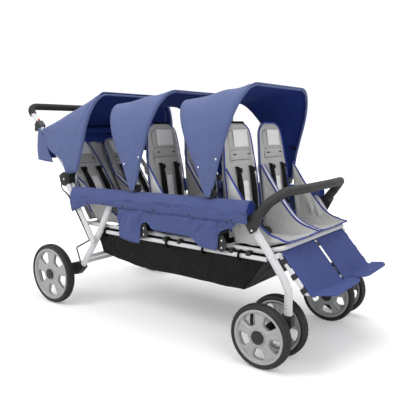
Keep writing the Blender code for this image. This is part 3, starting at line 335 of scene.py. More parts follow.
@dataclass(frozen=True)
class Cloth(Finish):
    """A woven cloth with visible threads and soft creases."""

    threads: float = 900.0
    thread_depth: float = 0.00012
    creases: float = 16.0
    crease_depth: float = 0.004
    sheen: float = 0.25
    tone: float = 0.16
    gloss: float = 0.3
    sheen_roughness: float = 0.5
    by_uv: bool = True

    @cache
    def material(self) -> bpy.types.Material:
        """Make the cloth's material.

        Returns:
            The material, which is made once.
        """
        material, board, shader = self.start()
        weave = board.add("ShaderNodeGroup", node_tree=Effects.weave())
        board.join(self.place(board, self.by_uv), weave.inputs["Place"])
        weave.inputs["Threads"].default_value = self.threads
        weave.inputs["Creases"].default_value = self.creases
        dark = tuple(channel * (1 - self.tone) for channel in self.color)
        light = tuple(min(1.0, channel * (1 + self.tone)) for channel in self.color)
        board.join(board.blend(weave.outputs["Tone"], dark, light), shader.inputs["Base Color"])
        creased = board.bump(weave.outputs["Creases"], self.crease_depth)
        board.join(board.bump(weave.outputs["Threads"], self.thread_depth, creased), shader.inputs["Normal"])
        shader.inputs["Sheen Weight"].default_value = self.sheen
        shader.inputs["Sheen Roughness"].default_value = self.sheen_roughness
        shader.inputs["Specular IOR Level"].default_value = self.gloss
        return material


@dataclass(frozen=True)
class Moulded(Finish):
    """Moulded plastic, rubber, foam or paint with a fine grain and faint wear."""

    metallic: float = 0.0
    grains: float = 700.0
    grain_depth: float = 0.0002
    wear: float = 0.10
    dust: float = 0.0
    dust_tone: float = 0.30
    scuffs: float = 0.35
    coat: float = 0.0

    @cache
    def material(self) -> bpy.types.Material:
        """Make the moulded or painted material.

        Returns:
            The material, which is made once.
        """
        material, board, shader = self.start()
        grain = board.add("ShaderNodeGroup", node_tree=Effects.grain())
        board.join(self.place(board, False), grain.inputs["Place"])
        grain.inputs["Grains"].default_value = self.grains
        dusty = tuple(channel * (1 - self.wear) + self.dust_tone * self.dust for channel in self.color)
        clean = tuple(min(1.0, channel * (1 + self.wear)) for channel in self.color)
        board.join(board.blend(grain.outputs["Dust"], dusty, clean), shader.inputs["Base Color"])
        spread = board.math("MULTIPLY", board.math("SUBTRACT", grain.outputs["Scuffs"], 0.5), self.scuffs)
        board.join(board.math("ADD", spread, self.roughness), shader.inputs["Roughness"])
        board.join(board.bump(grain.outputs["Grain"], self.grain_depth), shader.inputs["Normal"])
        shader.inputs["Metallic"].default_value = self.metallic
        shader.inputs["Coat Weight"].default_value = self.coat
        return material


BLUE = Cloth("Blue canopy cloth", (0.086, 0.116, 0.256), 0.80, "blue_cloth", sheen=0.10)
# Painted shade: a navy darker than the blue cloth, for the canopies' inner faces and the rolled curtain, standing
# in for the shade inside the canopies; the side rolls' ends take it too.
SHADED_NAVY = Cloth("Navy canopy lining", (0.020, 0.038, 0.185), 0.90, "blue_cloth", sheen=0.0, gloss=0.05)
PANEL_BLUE = Cloth("Blue panel cloth", (0.058, 0.080, 0.220), 0.75, "blue_cloth", creases=24.0,
                   crease_depth=0.006, sheen=0.10)
# Partly painted shade: the footrest's blue cloth, made darker than the canopies' blue to offset the top light
# that falls on it.
FOOT_BLUE_SHADED = Cloth("Blue footrest cloth", (0.060, 0.082, 0.232), 0.78, "blue_cloth", creases=14.0,
                  crease_depth=0.003, sheen=0.0, gloss=0.15)
PIPING = Cloth("Blue piping", (0.018, 0.038, 0.270), 0.65, "blue_cloth", threads=1400.0, creases=30.0,
               crease_depth=0.0004, by_uv=False)
GREY = Cloth("Grey seat cloth", (0.46, 0.46, 0.455), 0.88, "grey_cloth", creases=22.0, crease_depth=0.006,
             by_uv=False)
PALE = Cloth("Pale seat cloth", (0.56, 0.56, 0.55), 0.88, "grey_cloth", creases=22.0, crease_depth=0.005,
             by_uv=False)
PATCH = Cloth("Blank patch", (0.80, 0.80, 0.80), 0.80, "grey_cloth", creases=12.0, crease_depth=0.001,
              tone=0.04, by_uv=False)
WEBBING = Cloth("Black webbing", (0.0035, 0.0035, 0.004), 0.70, "black_cloth", threads=700.0,
                thread_depth=0.0002, crease_depth=0.0008, sheen=0.0, gloss=0.15, by_uv=False)
# Painted shade: dark grey lines laid along the channels sewn into the backrests, standing in for the shade that
# falls in them.
CHANNEL_SHADE = Cloth("Grey seam", (0.23, 0.23, 0.23), 0.90, "grey_cloth", threads=1400.0, creases=30.0,
             crease_depth=0.0002, sheen=0.0, gloss=0.1, by_uv=False)
BASKET_BLACK = Cloth("Black basket nylon", (0.002, 0.0022, 0.0025), 0.46, "black_cloth", creases=9.0,
                     crease_depth=0.026, sheen=0.0, tone=0.20, gloss=0.16)
PAINT = Moulded("Silver white paint", (0.60, 0.605, 0.62), 0.55, "frame_white", grains=1500.0,
                grain_depth=0.00004, wear=0.04, coat=0.04)
ROD = Moulded("Dark grey rod", (0.16, 0.16, 0.165), 0.45, "frame_white", metallic=0.3)
BLACK = Moulded("Black moulded plastic", (0.008, 0.008, 0.009), 0.42, "black_plastic")
FOAM = Moulded("Black foam", (0.014, 0.014, 0.015), 0.58, "grip_foam", grains=1100.0, grain_depth=0.0005)
GRIP = Moulded("Black grip foam", (0.005, 0.005, 0.005), 0.75, "grip_foam", grains=1100.0, grain_depth=0.0005)
RIM = Moulded("Grey rim plastic", (0.360, 0.362, 0.366), 0.40, "rim_plastic", metallic=0.10, wear=0.06)
TYRE = Moulded("Tyre rubber", (0.004, 0.004, 0.004), 0.58, "tyre_rubber", grains=500.0, grain_depth=0.0005,
               dust=0.02)
STEEL = Moulded("Bright rivets", (0.70, 0.70, 0.72), 0.25, "frame_white", metallic=0.9, grains=900.0,
                grain_depth=0.00003)
RED = Moulded("Red button", (0.60, 0.03, 0.01), 0.35, "black_plastic")


def wear(obj: bpy.types.Object, *finishes: Finish) -> None:
    """Dress an object.

    Args:
        obj: The object.
        finishes: Its finishes, in the order of its material slots.
    """
    obj.data.materials.clear()
    for finish in finishes:
        obj.data.materials.append(finish.material())


# Mesh tools


def mix(first: float, second: float, share: float) -> float:
    """The value at a share of the way from first to second."""
    return first + (second - first) * share


def ease(share: float) -> float:
    """A smooth step from 0 to 1."""
    share = min(1.0, max(0.0, share))
    return share * share * (3 - 2 * share)


def panel_top(x: float) -> float:
    """The height of the side panels' top at x."""
    return 0.616 + 0.014 * (x - PANEL_REAR) / (PANEL_FRONT - PANEL_REAR)


def slanted(base: Place, lean: float, distance: float, lift: float) -> Place:
    """A place on or beside a leaning line.

    Args:
        base: (x, z) of the line's foot.
        lean: How far the line leans back.
        distance: The distance up the line.
        lift: The distance forward of the line.

    Returns:
        Its (x, z).
    """
    sine, cosine = math.sin(lean), math.cos(lean)
    return base[0] - sine * distance + cosine * lift, base[1] + cosine * distance + sine * lift


def cloth_grid(across: int, along: int, surface: Surface, size: Place) -> bmesh.types.BMesh:
    """Shape a grid to a surface.

    Args:
        across: How many faces run along u.
        along: How many faces run along v.
        surface: The point at u and v, each from 0 to 1.
        size: The real length along u and along v, for the weave.

    Returns:
        The open sheet, with a UV map in metres.
    """
    bm = bmesh.new()
    chart = bm.loops.layers.uv.new("UVMap")
    bmesh.ops.create_grid(bm, x_segments=across, y_segments=along, size=1.0, calc_uvs=True)
    for face in bm.faces:
        for loop in face.loops:
            u, v = loop.vert.co.x / 2 + 0.5, loop.vert.co.y / 2 + 0.5
            loop[chart].uv = (u * size[0], v * size[1])
    for vert in bm.verts:
        vert.co = surface(vert.co.x / 2 + 0.5, vert.co.y / 2 + 0.5)
    return bm


def flat_size(surface: Surface, across: int, along: int) -> tuple[Place, float]:
    """The cut size of a sheet.

    Args:
        surface: The sheet's surface.
        across: How many steps run along u.
        along: How many steps run along v.

    Returns:
        Its greatest width and length, and its flat area.
    """
    rows = [[surface(i / across, j / along) for i in range(across + 1)] for j in range(along + 1)]
    width = max(sum((b - a).length for a, b in zip(row, row[1:])) for row in rows)
    length = max(sum((b - a).length for a, b in zip(column, column[1:])) for column in zip(*rows))
    area = 0.0
    for near, far in zip(rows, rows[1:]):
        for a, b, c, d in zip(near, near[1:], far[1:], far):
            area += ((b - a).cross(c - a).length + (c - a).cross(d - a).length) / 2
    return (round(width, 3), round(length, 3)), round(area, 4)


def section_frame(path: Sequence[Vector], index: int, up: Vector) -> Matrix:
    """The frame of a swept section.

    Args:
        path: The middle line.
        index: The point of the line that the section stands at.
        up: The direction that the frame's y leans toward.

    Returns:
        The frame, with its z along the path.
    """
    before = path[max(0, index - 1)]
    after = path[min(len(path) - 1, index + 1)]
    ahead = (after - before).normalized()
    across = up.cross(ahead)
    if across.length < 1e-4:
        across = Vector((1.0, 0.0, 0.0)).cross(ahead)
    across.normalize()
    frame = Matrix((across, ahead.cross(across), ahead)).transposed().to_4x4()
    return Matrix.Translation(path[index]) @ frame


def sweep(bm: bmesh.types.BMesh, path: Sequence[Vector], across: float, deep: float, sides: int = 8,
          up: Vector = SIDEWAYS, taper: Sequence[float] | None = None) -> None:
    """Sweep an oval section along a path, or a flat strap's where it has four sides.

    Args:
        bm: The mesh that it is added to.
        path: Its middle line.
        across: Half the section's width.
        deep: Half the section's depth, toward up.
        sides: How many sides the section has.
        up: The direction that the section's depth leans toward.
        taper: The section's size at each point, where it changes.
    """
    verts = bmesh.ops.create_circle(bm, cap_ends=True, segments=sides, radius=1.0)["verts"]
    edges = list({edge for vert in verts for edge in vert.link_edges})
    grow = math.sqrt(2) if sides == 4 else 1.0
    section = (Matrix.Diagonal((across * grow, deep * grow, 1.0, 1.0))
               @ Matrix.Rotation(math.pi / sides, 4, "Z"))
    sizes = taper or [1.0] * len(path)
    frames = [section_frame(path, index, up) @ Matrix.Diagonal((size, size, 1.0, 1.0))
              for index, size in enumerate(sizes)]
    bmesh.ops.transform(bm, matrix=frames[0] @ section, verts=verts)
    for here, there in zip(frames, frames[1:]):
        made = bmesh.ops.extrude_edge_only(bm, edges=edges)["geom"]
        verts = [item for item in made if isinstance(item, bmesh.types.BMVert)]
        ring = set(verts)
        edges = [item for item in made if isinstance(item, bmesh.types.BMEdge) and set(item.verts) <= ring]
        bmesh.ops.transform(bm, matrix=there @ here.inverted(), verts=verts)
    bmesh.ops.contextual_create(bm, geom=edges)


def swept(paths: Iterable[Sequence[Vector]], across: float, deep: float = 0.0, sides: int = 8,
          up: Vector = SIDEWAYS, taper: Sequence[float] | None = None) -> bmesh.types.BMesh:
    """Sweep one section along each of several paths.

    Args:
        paths: The middle lines.
        across: Half the section's width.
        deep: Half the section's depth, which is its width's half unless it is given.
        sides: How many sides the section has.
        up: The direction that the section's depth leans toward.
        taper: The section's size at each point, where it changes.

    Returns:
        The mesh of them all.
    """
    bm = bmesh.new()
    for path in paths:
        sweep(bm, path, across, deep or across, sides, up, taper)
    return bm


def smooth_path(points: Sequence[Vector], steps: int = 6) -> list[Vector]:
    """Draw a smooth curve through points.

    Args:
        points: The points, from one end to the other.
        steps: How many steps the curve takes between each two.

    Returns:
        The curve's points.
    """
    ends = [points[0] * 2 - points[1], *points, points[-1] * 2 - points[-2]]
    path = []
    for a, b, c, d in zip(ends, ends[1:], ends[2:], ends[3:]):
        for step in range(steps):
            t = step / steps
            path.append(b + (c - a) * 0.5 * t + (a * 2 - b * 5 + c * 4 - d) * 0.5 * t * t
                        + (b * 3 - a - c * 3 + d) * 0.5 * t * t * t)
    path.append(points[-1].copy())
    return path


def rounded_route(corners: Sequence[Vector], bend: float, steps: int) -> list[Vector]:
    """Draw a route through corners, each inner one rounded.

    Args:
        corners: The two ends and the corners between them.
        bend: The radius of each bend.
        steps: How many steps a bend takes.

    Returns:
        The route's points.
    """
    route = [corners[0]]
    for before, here, after in zip(corners, corners[1:], corners[2:]):
        toward, away = (before - here).normalized(), (after - here).normalized()
        half = toward.angle(away) / 2
        centre = here + (toward + away).normalized() * bend / math.sin(half)
        start = (here + toward * bend / math.tan(half) - centre).normalized()
        end = (here + away * bend / math.tan(half) - centre).normalized()
        route += [centre + start.slerp(end, step / steps) * bend for step in range(steps + 1)]
    return route + [corners[-1]]


def absorb(bm: bmesh.types.BMesh, part: bmesh.types.BMesh) -> None:
    """Add a finished part to a mesh.

    Args:
        bm: The mesh.
        part: The part, which is used up.
    """
    mesh = bpy.data.meshes.new("part")
    part.to_mesh(mesh)
    part.free()
    bm.from_mesh(mesh)
    bpy.data.meshes.remove(mesh)


def turned(bm: bmesh.types.BMesh, profile: Sequence[Place], steps: int, closed: bool) -> None:
    """Spin a profile of (radius, offset) points about the Y axis.

    Args:
        bm: The mesh that it is added to.
        profile: Radius and offset along the axis of each point.
        steps: How many steps the turn takes.
        closed: Whether the profile's last point joins its first.
    """
    part = bmesh.new()
    verts = [part.verts.new((radius, offset, 0.0)) for radius, offset in profile]
    pairs = list(zip(verts, verts[1:])) + ([(verts[-1], verts[0])] if closed else [])
    edges = [part.edges.new(pair) for pair in pairs]
    bmesh.ops.spin(part, geom=verts + edges, cent=(0, 0, 0), axis=(0, 1, 0), dvec=(0, 0, 0),
                   angle=2 * math.pi, steps=steps, use_merge=True, use_normal_flip=False, use_duplicate=False)
    bmesh.ops.remove_doubles(part, verts=part.verts[:], dist=MERGE_DISTANCE)
    absorb(bm, part)


def domes(spots: Iterable[Vector], radius: float, height: float,
          facing: Vector | None = None) -> bmesh.types.BMesh:
    """Make rivet heads or snap buttons that stand out from a face.

    Args:
        spots: The middle of each one's foot.
        radius: Their radius.
        height: How far they stand out.
        facing: Where they face, which is outward to their own side unless it is given.

    Returns:
        The mesh of them all.
    """
    bm = bmesh.new()
    for spot in spots:
        aim = Vector((0.0, math.copysign(1.0, spot.y), 0.0)) if facing is None else facing
        made = bmesh.ops.create_uvsphere(bm, u_segments=12, v_segments=6, radius=1.0)["verts"]
        turn = aim.to_track_quat("Z", "Y").to_matrix().to_4x4()
        place = Matrix.Translation(spot) @ turn @ Matrix.Diagonal((radius, radius, height, 1.0))
        bmesh.ops.transform(bm, matrix=place, verts=made)
    return bm


def blocks(spots: Iterable[Vector], size: tuple[float, float, float], tilt: float = 0.0,
           round_off: float = 0.002) -> bmesh.types.BMesh:
    """Make blocks with rounded edges.

    Args:
        spots: The middle of each block.
        size: Their length, width and height.
        tilt: How far they are tilted about the Y axis.
        round_off: The radius of their edges.

    Returns:
        The mesh of them all.
    """
    bm = bmesh.new()
    for spot in spots:
        part = bmesh.new()
        bmesh.ops.create_cube(part, size=1.0)
        bmesh.ops.scale(part, vec=size, verts=part.verts[:])
        bmesh.ops.bevel(part, geom=part.edges[:], offset=round_off, offset_type="OFFSET", segments=2,
                        profile=0.5, affect="EDGES", material=-1)
        place = Matrix.Translation(spot) @ Matrix.Rotation(tilt, 4, "Y")
        bmesh.ops.transform(part, matrix=place, verts=part.verts[:])
        absorb(bm, part)
    return bm


@dataclass
class Assembly:
    """A group of the stroller's pieces that are built and dressed together."""

    def piece(self, name: str, bm: bmesh.types.BMesh, body: str | None, *finishes: Finish,
              nodes: Iterable[str] = (), slot: str = "", angle: float = 40.0,
              turn: bool = True) -> bpy.types.Object:
        """Turn a mesh into a piece of the stroller.

        Args:
            name: The piece's name.
            bm: Its mesh, which is used up.
            body: The body that it moves with, or None, where it is left unattached.
            finishes: Its finishes, in the order of its material slots.
            nodes: The CAD nodes that it stands for.
            slot: The record's material slot, where it isn't the first finish's; not used.
            angle: Edges sharper than this stay sharp, in degrees.
            turn: Whether the faces are turned to face out.

        Returns:
            The finished object.
        """
        if turn:
            bmesh.ops.recalc_face_normals(bm, faces=bm.faces[:])
        mesh = bpy.data.meshes.new(name)
        bm.to_mesh(mesh)
        bm.free()
        mesh.shade_smooth()
        mesh.set_sharp_from_angle(angle=math.radians(angle))
        obj = bpy.data.objects.new(name, mesh)
        bpy.context.scene.collection.objects.link(obj)
        wear(obj, *finishes)
        if body:
            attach(obj, body)
        if nodes:
            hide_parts(*nodes)
        slot or finishes[0].slot
        log.info("%s: %d faces", name, len(mesh.polygons))
        return obj

    def thicken(self, obj: bpy.types.Object, thickness: float, second_inside: bool = False) -> None:
        """Give a sheet its thickness.

        Args:
            obj: The sheet.
            thickness: How thick it is.
            second_inside: Whether its second finish goes on its inner face, as the canopies' darker navy of
                painted shade does.
        """
        solid = obj.modifiers.new("thickness", "SOLIDIFY")
        solid.thickness = thickness
        solid.offset = 0.0
        solid.material_offset = int(second_inside)

    def cut(self, obj: bpy.types.Object, surface: Surface, faces: tuple[int, int], held: str,
            rests_on: Sequence[str | bpy.types.Object]) -> None:
        """Work out a sheet's cut size from its surface and its grid of faces; the result is not kept."""
        flat, area = flat_size(surface, *faces)
        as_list(rests_on)

    def sheet(self, name: str, surface: Surface, faces: tuple[int, int], size: Place, body: str,
              *finishes: Finish, held: str, rests_on: Sequence[str | bpy.types.Object],
              nodes: Iterable[str] = (), angle: float = 40.0) -> bpy.types.Object:
        """Make a thin sheet of cloth that moves with one body.

        Args:
            name: The piece's name.
            surface: The point at u and v, each from 0 to 1.
            faces: How many faces run along u and along v.
            size: The real length along u and along v, for the weave.
            body: The body that it moves with.
            finishes: Its finish and, if it has one, the finish of its inner face, such as the canopies' darker
                navy of painted shade.
            held: How it is held; not used.
            rests_on: What holds it.
            nodes: The CAD nodes that it stands for.
            angle: Edges sharper than this stay sharp, in degrees.

        Returns:
            The finished object.
        """
        obj = self.piece(name, cloth_grid(*faces, surface, size), body, *finishes, nodes=nodes, angle=angle)
        self.thicken(obj, CLOTH_THICKNESS, len(finishes) > 1)
        self.cut(obj, surface, faces, held, rests_on)
        return obj


# Wheels


@dataclass
class Wheel(Assembly):
    """One wheel: a treaded tyre on a moulded rim with five broad spokes."""

    name: str
    body: str
    centre: Vector
    radius: float
    outward: int
    tyre_depth: float
    width: float = 0.045
    tread: int = 80
    spokes: int = 5
    wall: float = 0.0150
    spoke_depth: float = 0.0150
    window_from: float = 0.44
    roundness: float = 0.45

    def build(self) -> None:
        """Build the tyre and the rim."""
        self.tyre()
        self.rim()

    def tyre(self) -> None:
        """The tyre, with two grooves round it and blocks cut across its shoulders."""
        bm = bmesh.new()
        half, r = self.width / 2, self.radius
        near = [(r - self.tyre_depth, half * 0.62), (r - self.tyre_depth + 0.002, half * 0.80),
                (r - self.tyre_depth * 0.50, half * 0.99), (r - 0.0055, half * 0.90),
                (r - 0.0015, half * 0.66), (r, half * 0.36), (r - 0.0018, half * 0.30),
                (r - 0.0018, half * 0.24), (r, half * 0.18)]
        turned(bm, near + [(radius, -offset) for radius, offset in reversed(near)], self.tread, True)
        cuts = []
        for face in bm.faces:
            x, y, z = face.calc_center_median()
            turn = (math.atan2(z, x) + math.pi) / (2 * math.pi)
            if abs(y) > half * 0.4 and math.hypot(x, z) > r - 0.005 and int(turn * self.tread) % 2:
                cuts.append(face)
        bmesh.ops.inset_region(bm, faces=cuts, thickness=0.0006, depth=-0.0012)
        bmesh.ops.translate(bm, verts=bm.verts[:], vec=self.centre)
        self.piece(f"{self.name}_treaded_tyre", bm, self.body, TYRE, nodes=(f"{self.name}_tyre",), angle=30.0)

    def rim(self) -> None:
        """The rim's flange and barrel, its spokes and its hub."""
        bm = bmesh.new()
        half = self.width / 2
        outer = self.radius - self.tyre_depth + 0.0008
        flange = ((outer, half * 0.84), (outer - 0.002, half * 0.92), (outer - 0.009, half * 0.88),
                  (outer - 0.012, half * 0.70), (outer - 0.010, -half * 0.60), (outer - 0.004, -half * 0.84),
                  (outer, -half * 0.80))
        hub = ((0.0056, half * 0.86), (0.0275, half * 0.86), (0.0300, half * 0.76), (0.0300, half * 0.20),
               (0.019, -half * 0.62), (0.0056, -half * 0.70))
        for profile, steps in ((flange, 72), (hub, 48)):
            turned(bm, [(radius, offset * self.outward) for radius, offset in profile], steps, True)
        for spoke in range(self.spokes):
            self.sector(bm, 2 * math.pi * (spoke + 0.5) / self.spokes + math.pi / 2, outer)
        bmesh.ops.translate(bm, verts=bm.verts[:], vec=self.centre)
        self.piece(f"{self.name}_spoked_rim", bm, self.body, RIM, nodes=(f"{self.name}_rim",), angle=35.0)

    def sector(self, bm: bmesh.types.BMesh, middle: float, outer: float) -> None:
        """One fifth of the rim's face: two half spokes round a window with rounded corners.

        Args:
            bm: The rim's mesh.
            middle: The angle of the window's middle.
            outer: The rim's outer radius.
        """
        inner_edge, outer_edge = self.window_from * outer, outer - self.wall
        centre, reach = (inner_edge + outer_edge) / 2, (outer_edge - inner_edge) / 2
        wedge = math.pi / self.spokes
        part = bmesh.new()
        bmesh.ops.create_grid(part, x_segments=48, y_segments=6, size=0.5)
        for vert in part.verts:
            turn, share = 2 * math.pi * (vert.co.x + 0.5), vert.co.y + 0.5
            c, s = math.cos(turn), math.sin(turn)
            most = max(abs(c), abs(s))
            half = math.radians(19.0 + 2.0 * s)
            window = (half * math.copysign(abs(c) ** self.roundness, c),
                      math.copysign(abs(s) ** self.roundness, s) * reach)
            edge = (wedge * c / most, s / most * (outer - 0.008 - centre if s > 0 else centre - 0.022))
            angle = middle + mix(window[0], edge[0], share)
            radius = centre + mix(window[1], edge[1], share)
            height = mix(0.72, 0.52, ease((radius - 0.02) / (outer - 0.02))) * self.width / 2
            height += 0.0020 * math.sin(math.pi * min(1.0, share * 1.1)) - 0.0035 * (1 - share) ** 4
            vert.co = (radius * math.cos(angle), height * self.outward, radius * math.sin(angle))
        bmesh.ops.remove_doubles(part, verts=part.verts[:], dist=MERGE_DISTANCE)
        made = bmesh.ops.extrude_face_region(part, geom=part.faces[:], use_keep_orig=True)["geom"]
        lower = [item for item in made if isinstance(item, bmesh.types.BMVert)]
        bmesh.ops.translate(part, vec=(0.0, -self.spoke_depth * self.outward, 0.0), verts=lower)
        absorb(bm, part)


@dataclass
class Wheels(Assembly):
    """Two rear wheels, the twin wheels on the castors and their hub caps.

    Each end has its axle's x, its wheels' radius and the depth of their tyres.
    """

    rear: tuple[float, float, float] = (-0.610, 0.155, 0.022)
    front: tuple[float, float, float] = (0.659, 0.127, 0.021)
    rear_y: float = 0.3775
    twin_half: float = 0.0687
    cap_out: float = 0.0213

    def build(self) -> None:
        """Build the six wheels and the caps that stand on their axles."""
        for side in Side:
            sign, word = side.value, side.name.lower()
            self.mount("rear", word, "chassis", sign * self.rear_y, sign)
            for place, step in (("outer", 1), ("inner", -1)):
                self.mount("front", f"{word}_{place}", f"castor_{word}",
                           sign * (FRAME_Y + step * self.twin_half), sign * step)

    def mount(self, end: str, word: str, carrier: str, y: float, outward: int) -> None:
        """Build one wheel and the domed hub cap on its axle.

        Args:
            end: The end of the stroller, front or rear.
            word: The rest of the wheel's name.
            carrier: The body that the axle belongs to.
            y: The wheel's middle.
            outward: The sign of the direction that its face looks to.
        """
        x, radius, tyre_depth = self.rear if end == "rear" else self.front
        centre = Vector((x, y, radius))
        Wheel(f"{end}_{word}", f"{end}_wheel_{word}", centre, radius, outward, tyre_depth).build()
        cap = bmesh.new()
        profile = ((0.0, 0.0052), (0.013, 0.0050), (0.0165, 0.0040), (0.0180, 0.0048), (0.0245, 0.0036),
                   (0.0268, 0.0010), (0.0262, 0.0), (0.0, 0.0))
        turned(cap, [(reach, offset * outward) for reach, offset in profile], 40, False)
        bmesh.ops.translate(cap, verts=cap.verts[:], vec=(x, y + outward * self.cap_out, radius))
        self.piece(f"{end}_hub_cap_{word}", cap, carrier, BLACK)


# Canopies


@dataclass
class Arch:
    """One arch of a canopy, seen along the pivot line."""

    lean: float
    top: float
    half_width: float = 0.327
    corner: Place = (0.135, 0.225)
    foot_half: float = 0.345
    foot: float = 0.030
    drift: tuple[Place, ...] = ((0.0, 0.014), (0.140, 0.0), (1.0, 0.0))

    def lift(self, height: float) -> float:
        """How far the hem stands forward of the line through its foot.

        Args:
            height: The height up the arch.

        Returns:
            The distance.
        """
        for (low, first), (high, second) in zip(self.drift, self.drift[1:]):
            if height <= high:
                return mix(first, second, (height - low) / (high - low))
        return 0.0

    def point(self, part: float, aside: float = 0.0, under: float = 0.0) -> Place:
        """The |y| and height at a part of half the arch.

        Args:
            part: From 0 at its foot, over its corner from 4 to 8, to HALF_ARCH at the middle of its top.
            aside: How far the walls move inward.
            under: How far the top moves down.

        Returns:
            The |y| and the height up the arch.
        """
        across, up = self.corner
        if part <= 4:
            lean_in = (self.foot_half - self.half_width) * (1 - part / 4)
            return self.half_width + lean_in - aside, mix(self.foot, self.top - up, part / 4)
        if part <= 8:
            angle = math.pi / 2 * (part - 4) / 4
            return (self.half_width - across + (across - aside) * math.cos(angle),
                    self.top - up + (up - under) * math.sin(angle))
        return (self.half_width - across) * (HALF_ARCH - part) / (HALF_ARCH - 8), self.top - under


@dataclass
class Canopy(Assembly):
    """One canopy: cloth stretched between two arches, with a darker navy of painted shade on its inner face,
    bound hems, a row of stitching and snaps.
    """

    name: str
    pivot: Place
    front: Arch
    rear: Arch
    bodies: tuple[str, str]
    bend: Place
    snap_height: float = 0.150
    sag: float = 0.008
    tongue: float = 0.013
    wrinkle: float = 0.0060
    bow_inset: float = 0.00612

    def hem(self, share: float, arch: Arch, aside: float = 0.0, under: float = 0.0) -> Vector:
        """A point of one hem.

        Args:
            share: From 0 at the left foot to 1 at the right foot.
            arch: The hem's arch.
            aside: How far the walls move inward.
            under: How far the top moves down.

        Returns:
            The point.
        """
        y, height = arch.point(HALF_ARCH * (1 - abs(2 * share - 1)), aside, under)
        x, z = slanted(self.pivot, arch.lean, height, arch.lift(height))
        return Vector((x, y if share < 0.5 else -y, z))

    def at(self, share: float, blend: float, lift: float = 0.0) -> Vector:
        """A point of the cloth.

        Args:
            share: From 0 at the left foot to 1 at the right foot.
            blend: From 0 at the front hem to 1 at the rear hem.
            lift: How far it stands off the cloth, outward.

        Returns:
            The point.
        """
        half = 1 - abs(2 * share - 1)
        point = self.hem(share, self.front).lerp(self.hem(share, self.rear), blend)
        point.z -= self.sag * math.sin(math.pi * blend) * max(0.0, half - 0.5) * 2
        turn = math.pi / 2 * min(1.0, max(0.0, (half * HALF_ARCH - 4) / 4))
        point.y += math.copysign(lift * math.cos(turn), point.y)
        point.z += lift * math.sin(turn)
        return point

    def build(self) -> None:
        """Build the cloth, its bindings and its snaps."""
        self.cloth()
        self.bindings()
        self.snaps()

    def settle(self, obj: bpy.types.Object) -> bpy.types.Object:
        """Bake a piece of cloth's transform into its mesh; it does not bend between the two bodies that hold it.
        """
        x, z = self.pivot
        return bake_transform(obj, *self.bodies, start=(x + self.bend[0], 0.0, z), end=(x + self.bend[1], 0.0, z))

    def creased(self, u: float, v: float) -> Vector:
        """The cloth's surface, with folds that fan out from the pivots and a rounded tongue over each.

        Args:
            u: From 0 at the left tongue to 1 at the right tongue.
            v: From 0 at the front hem to 1 at the rear hem.

        Returns:
            The point.
        """
        whole = 2 * HALF_ARCH
        part = u * (whole + 2) - 1
        share = min(1.0, max(0.0, part / whole))
        half = 1 - abs(2 * share - 1)
        slack = math.sin(math.pi * v)
        fan = 0.0032 * ease(1 - half / 0.42) * math.sin(v * math.pi * 5 + half * 9) * slack
        drape = 0.0030 * ease((half - 0.40) / 0.25) * math.sin(v * math.pi * 3 + half * 5) * slack
        ripple = 0.0034 * noise.noise(Vector((u * 10, v * 5, self.pivot[0] * 7))) * slack
        wrinkle = noise.noise(Vector((half * 38 + v * 3, v * 2.4, self.pivot[0] * 9 + u)))
        ripple += self.wrinkle * (0.8 - 2.4 * abs(wrinkle)) * ease((0.50 - half) / 0.25) * slack
        point = self.at(share, v, fan + drape + ripple)
        beyond = max(-part, part - whole, 0.0)
        if not beyond:
            return point
        x, z = self.pivot
        narrow = math.sqrt(1 - 0.8 * beyond ** 2)
        return Vector((x + (point.x - x) * narrow, point.y, mix(point.z, z - self.tongue, beyond)))

    def cloth(self) -> None:
        """The cloth between the front hem and the rear hem, with a darker navy of painted shade on its inner
        face.
        """
        bm = cloth_grid(96, 18, self.creased, (1.25, 0.30))
        bmesh.ops.reverse_faces(bm, faces=bm.faces[:])
        obj = self.piece(f"{self.name}_cover", bm, None, BLUE, SHADED_NAVY, nodes=(f"{self.name}_cloth",),
                         turn=False)
        self.thicken(obj, CLOTH_THICKNESS, second_inside=True)
        self.settle(obj)
        self.cut(obj, self.creased, (96, 18), "stretched", [f"{self.name}_bow"])

    def along(self, blend: float, lift: float = 0.0) -> list[Vector]:
        """A line across the cloth, from its left foot to its right foot."""
        return [self.at(step / 66, blend, lift) for step in range(67)]

    def casing(self) -> list[Vector]:
        """The middle line of the casing that the wire bow runs in, inside the front hem.

        Returns:
            The line's points.
        """
        roof = (self.at(0.5, 0.25) - self.at(0.5, 0.0)).normalized()
        down = Vector((math.sin(self.front.lean), 0.0, -math.cos(self.front.lean)))
        under = self.bow_inset / down.cross(roof).length
        return [self.hem(step / 66, self.front, self.bow_inset, under) for step in range(67)]

    def bindings(self) -> None:
        """The casing in the front hem, the bound rear hem and the row of stitching behind the front one."""
        for word, path, radius in (("front_hem", self.casing(), 0.0050),
                                   ("front_edge", self.along(0.0), 0.0028),
                                   ("front_stitch", self.along(0.075, 0.0012), 0.0010),
                                   ("rear_hem", self.along(1.0), 0.0026)):
            self.settle(self.piece(f"{self.name}_{word}", swept([path], radius), None, BLUE))

    def snaps(self) -> None:
        """The white snaps at the ends of the crease on each side, and the black tabs inside."""
        wall = self.front.top - self.front.corner[1] - self.front.foot
        part = 4 * (self.snap_height - self.front.foot) / wall / (2 * HALF_ARCH)
        spots = [self.at(share, blend, 0.0018) for share in (part, 1 - part) for blend in (0.10, 0.90)]
        self.settle(self.piece(f"{self.name}_snaps", domes(spots, 0.0048, 0.0020), None, STEEL,
                               slot="black_plastic"))
        spots = [self.at(share, 0.22) + Vector((0.0, inward, 0.0))
                 for share, inward in ((0.135, -0.0075), (0.865, 0.0075))]
        tabs = blocks(spots, (0.034, 0.0035, 0.010), math.radians(14), 0.001)
        self.settle(self.piece(f"{self.name}_tabs", tabs, None, WEBBING))


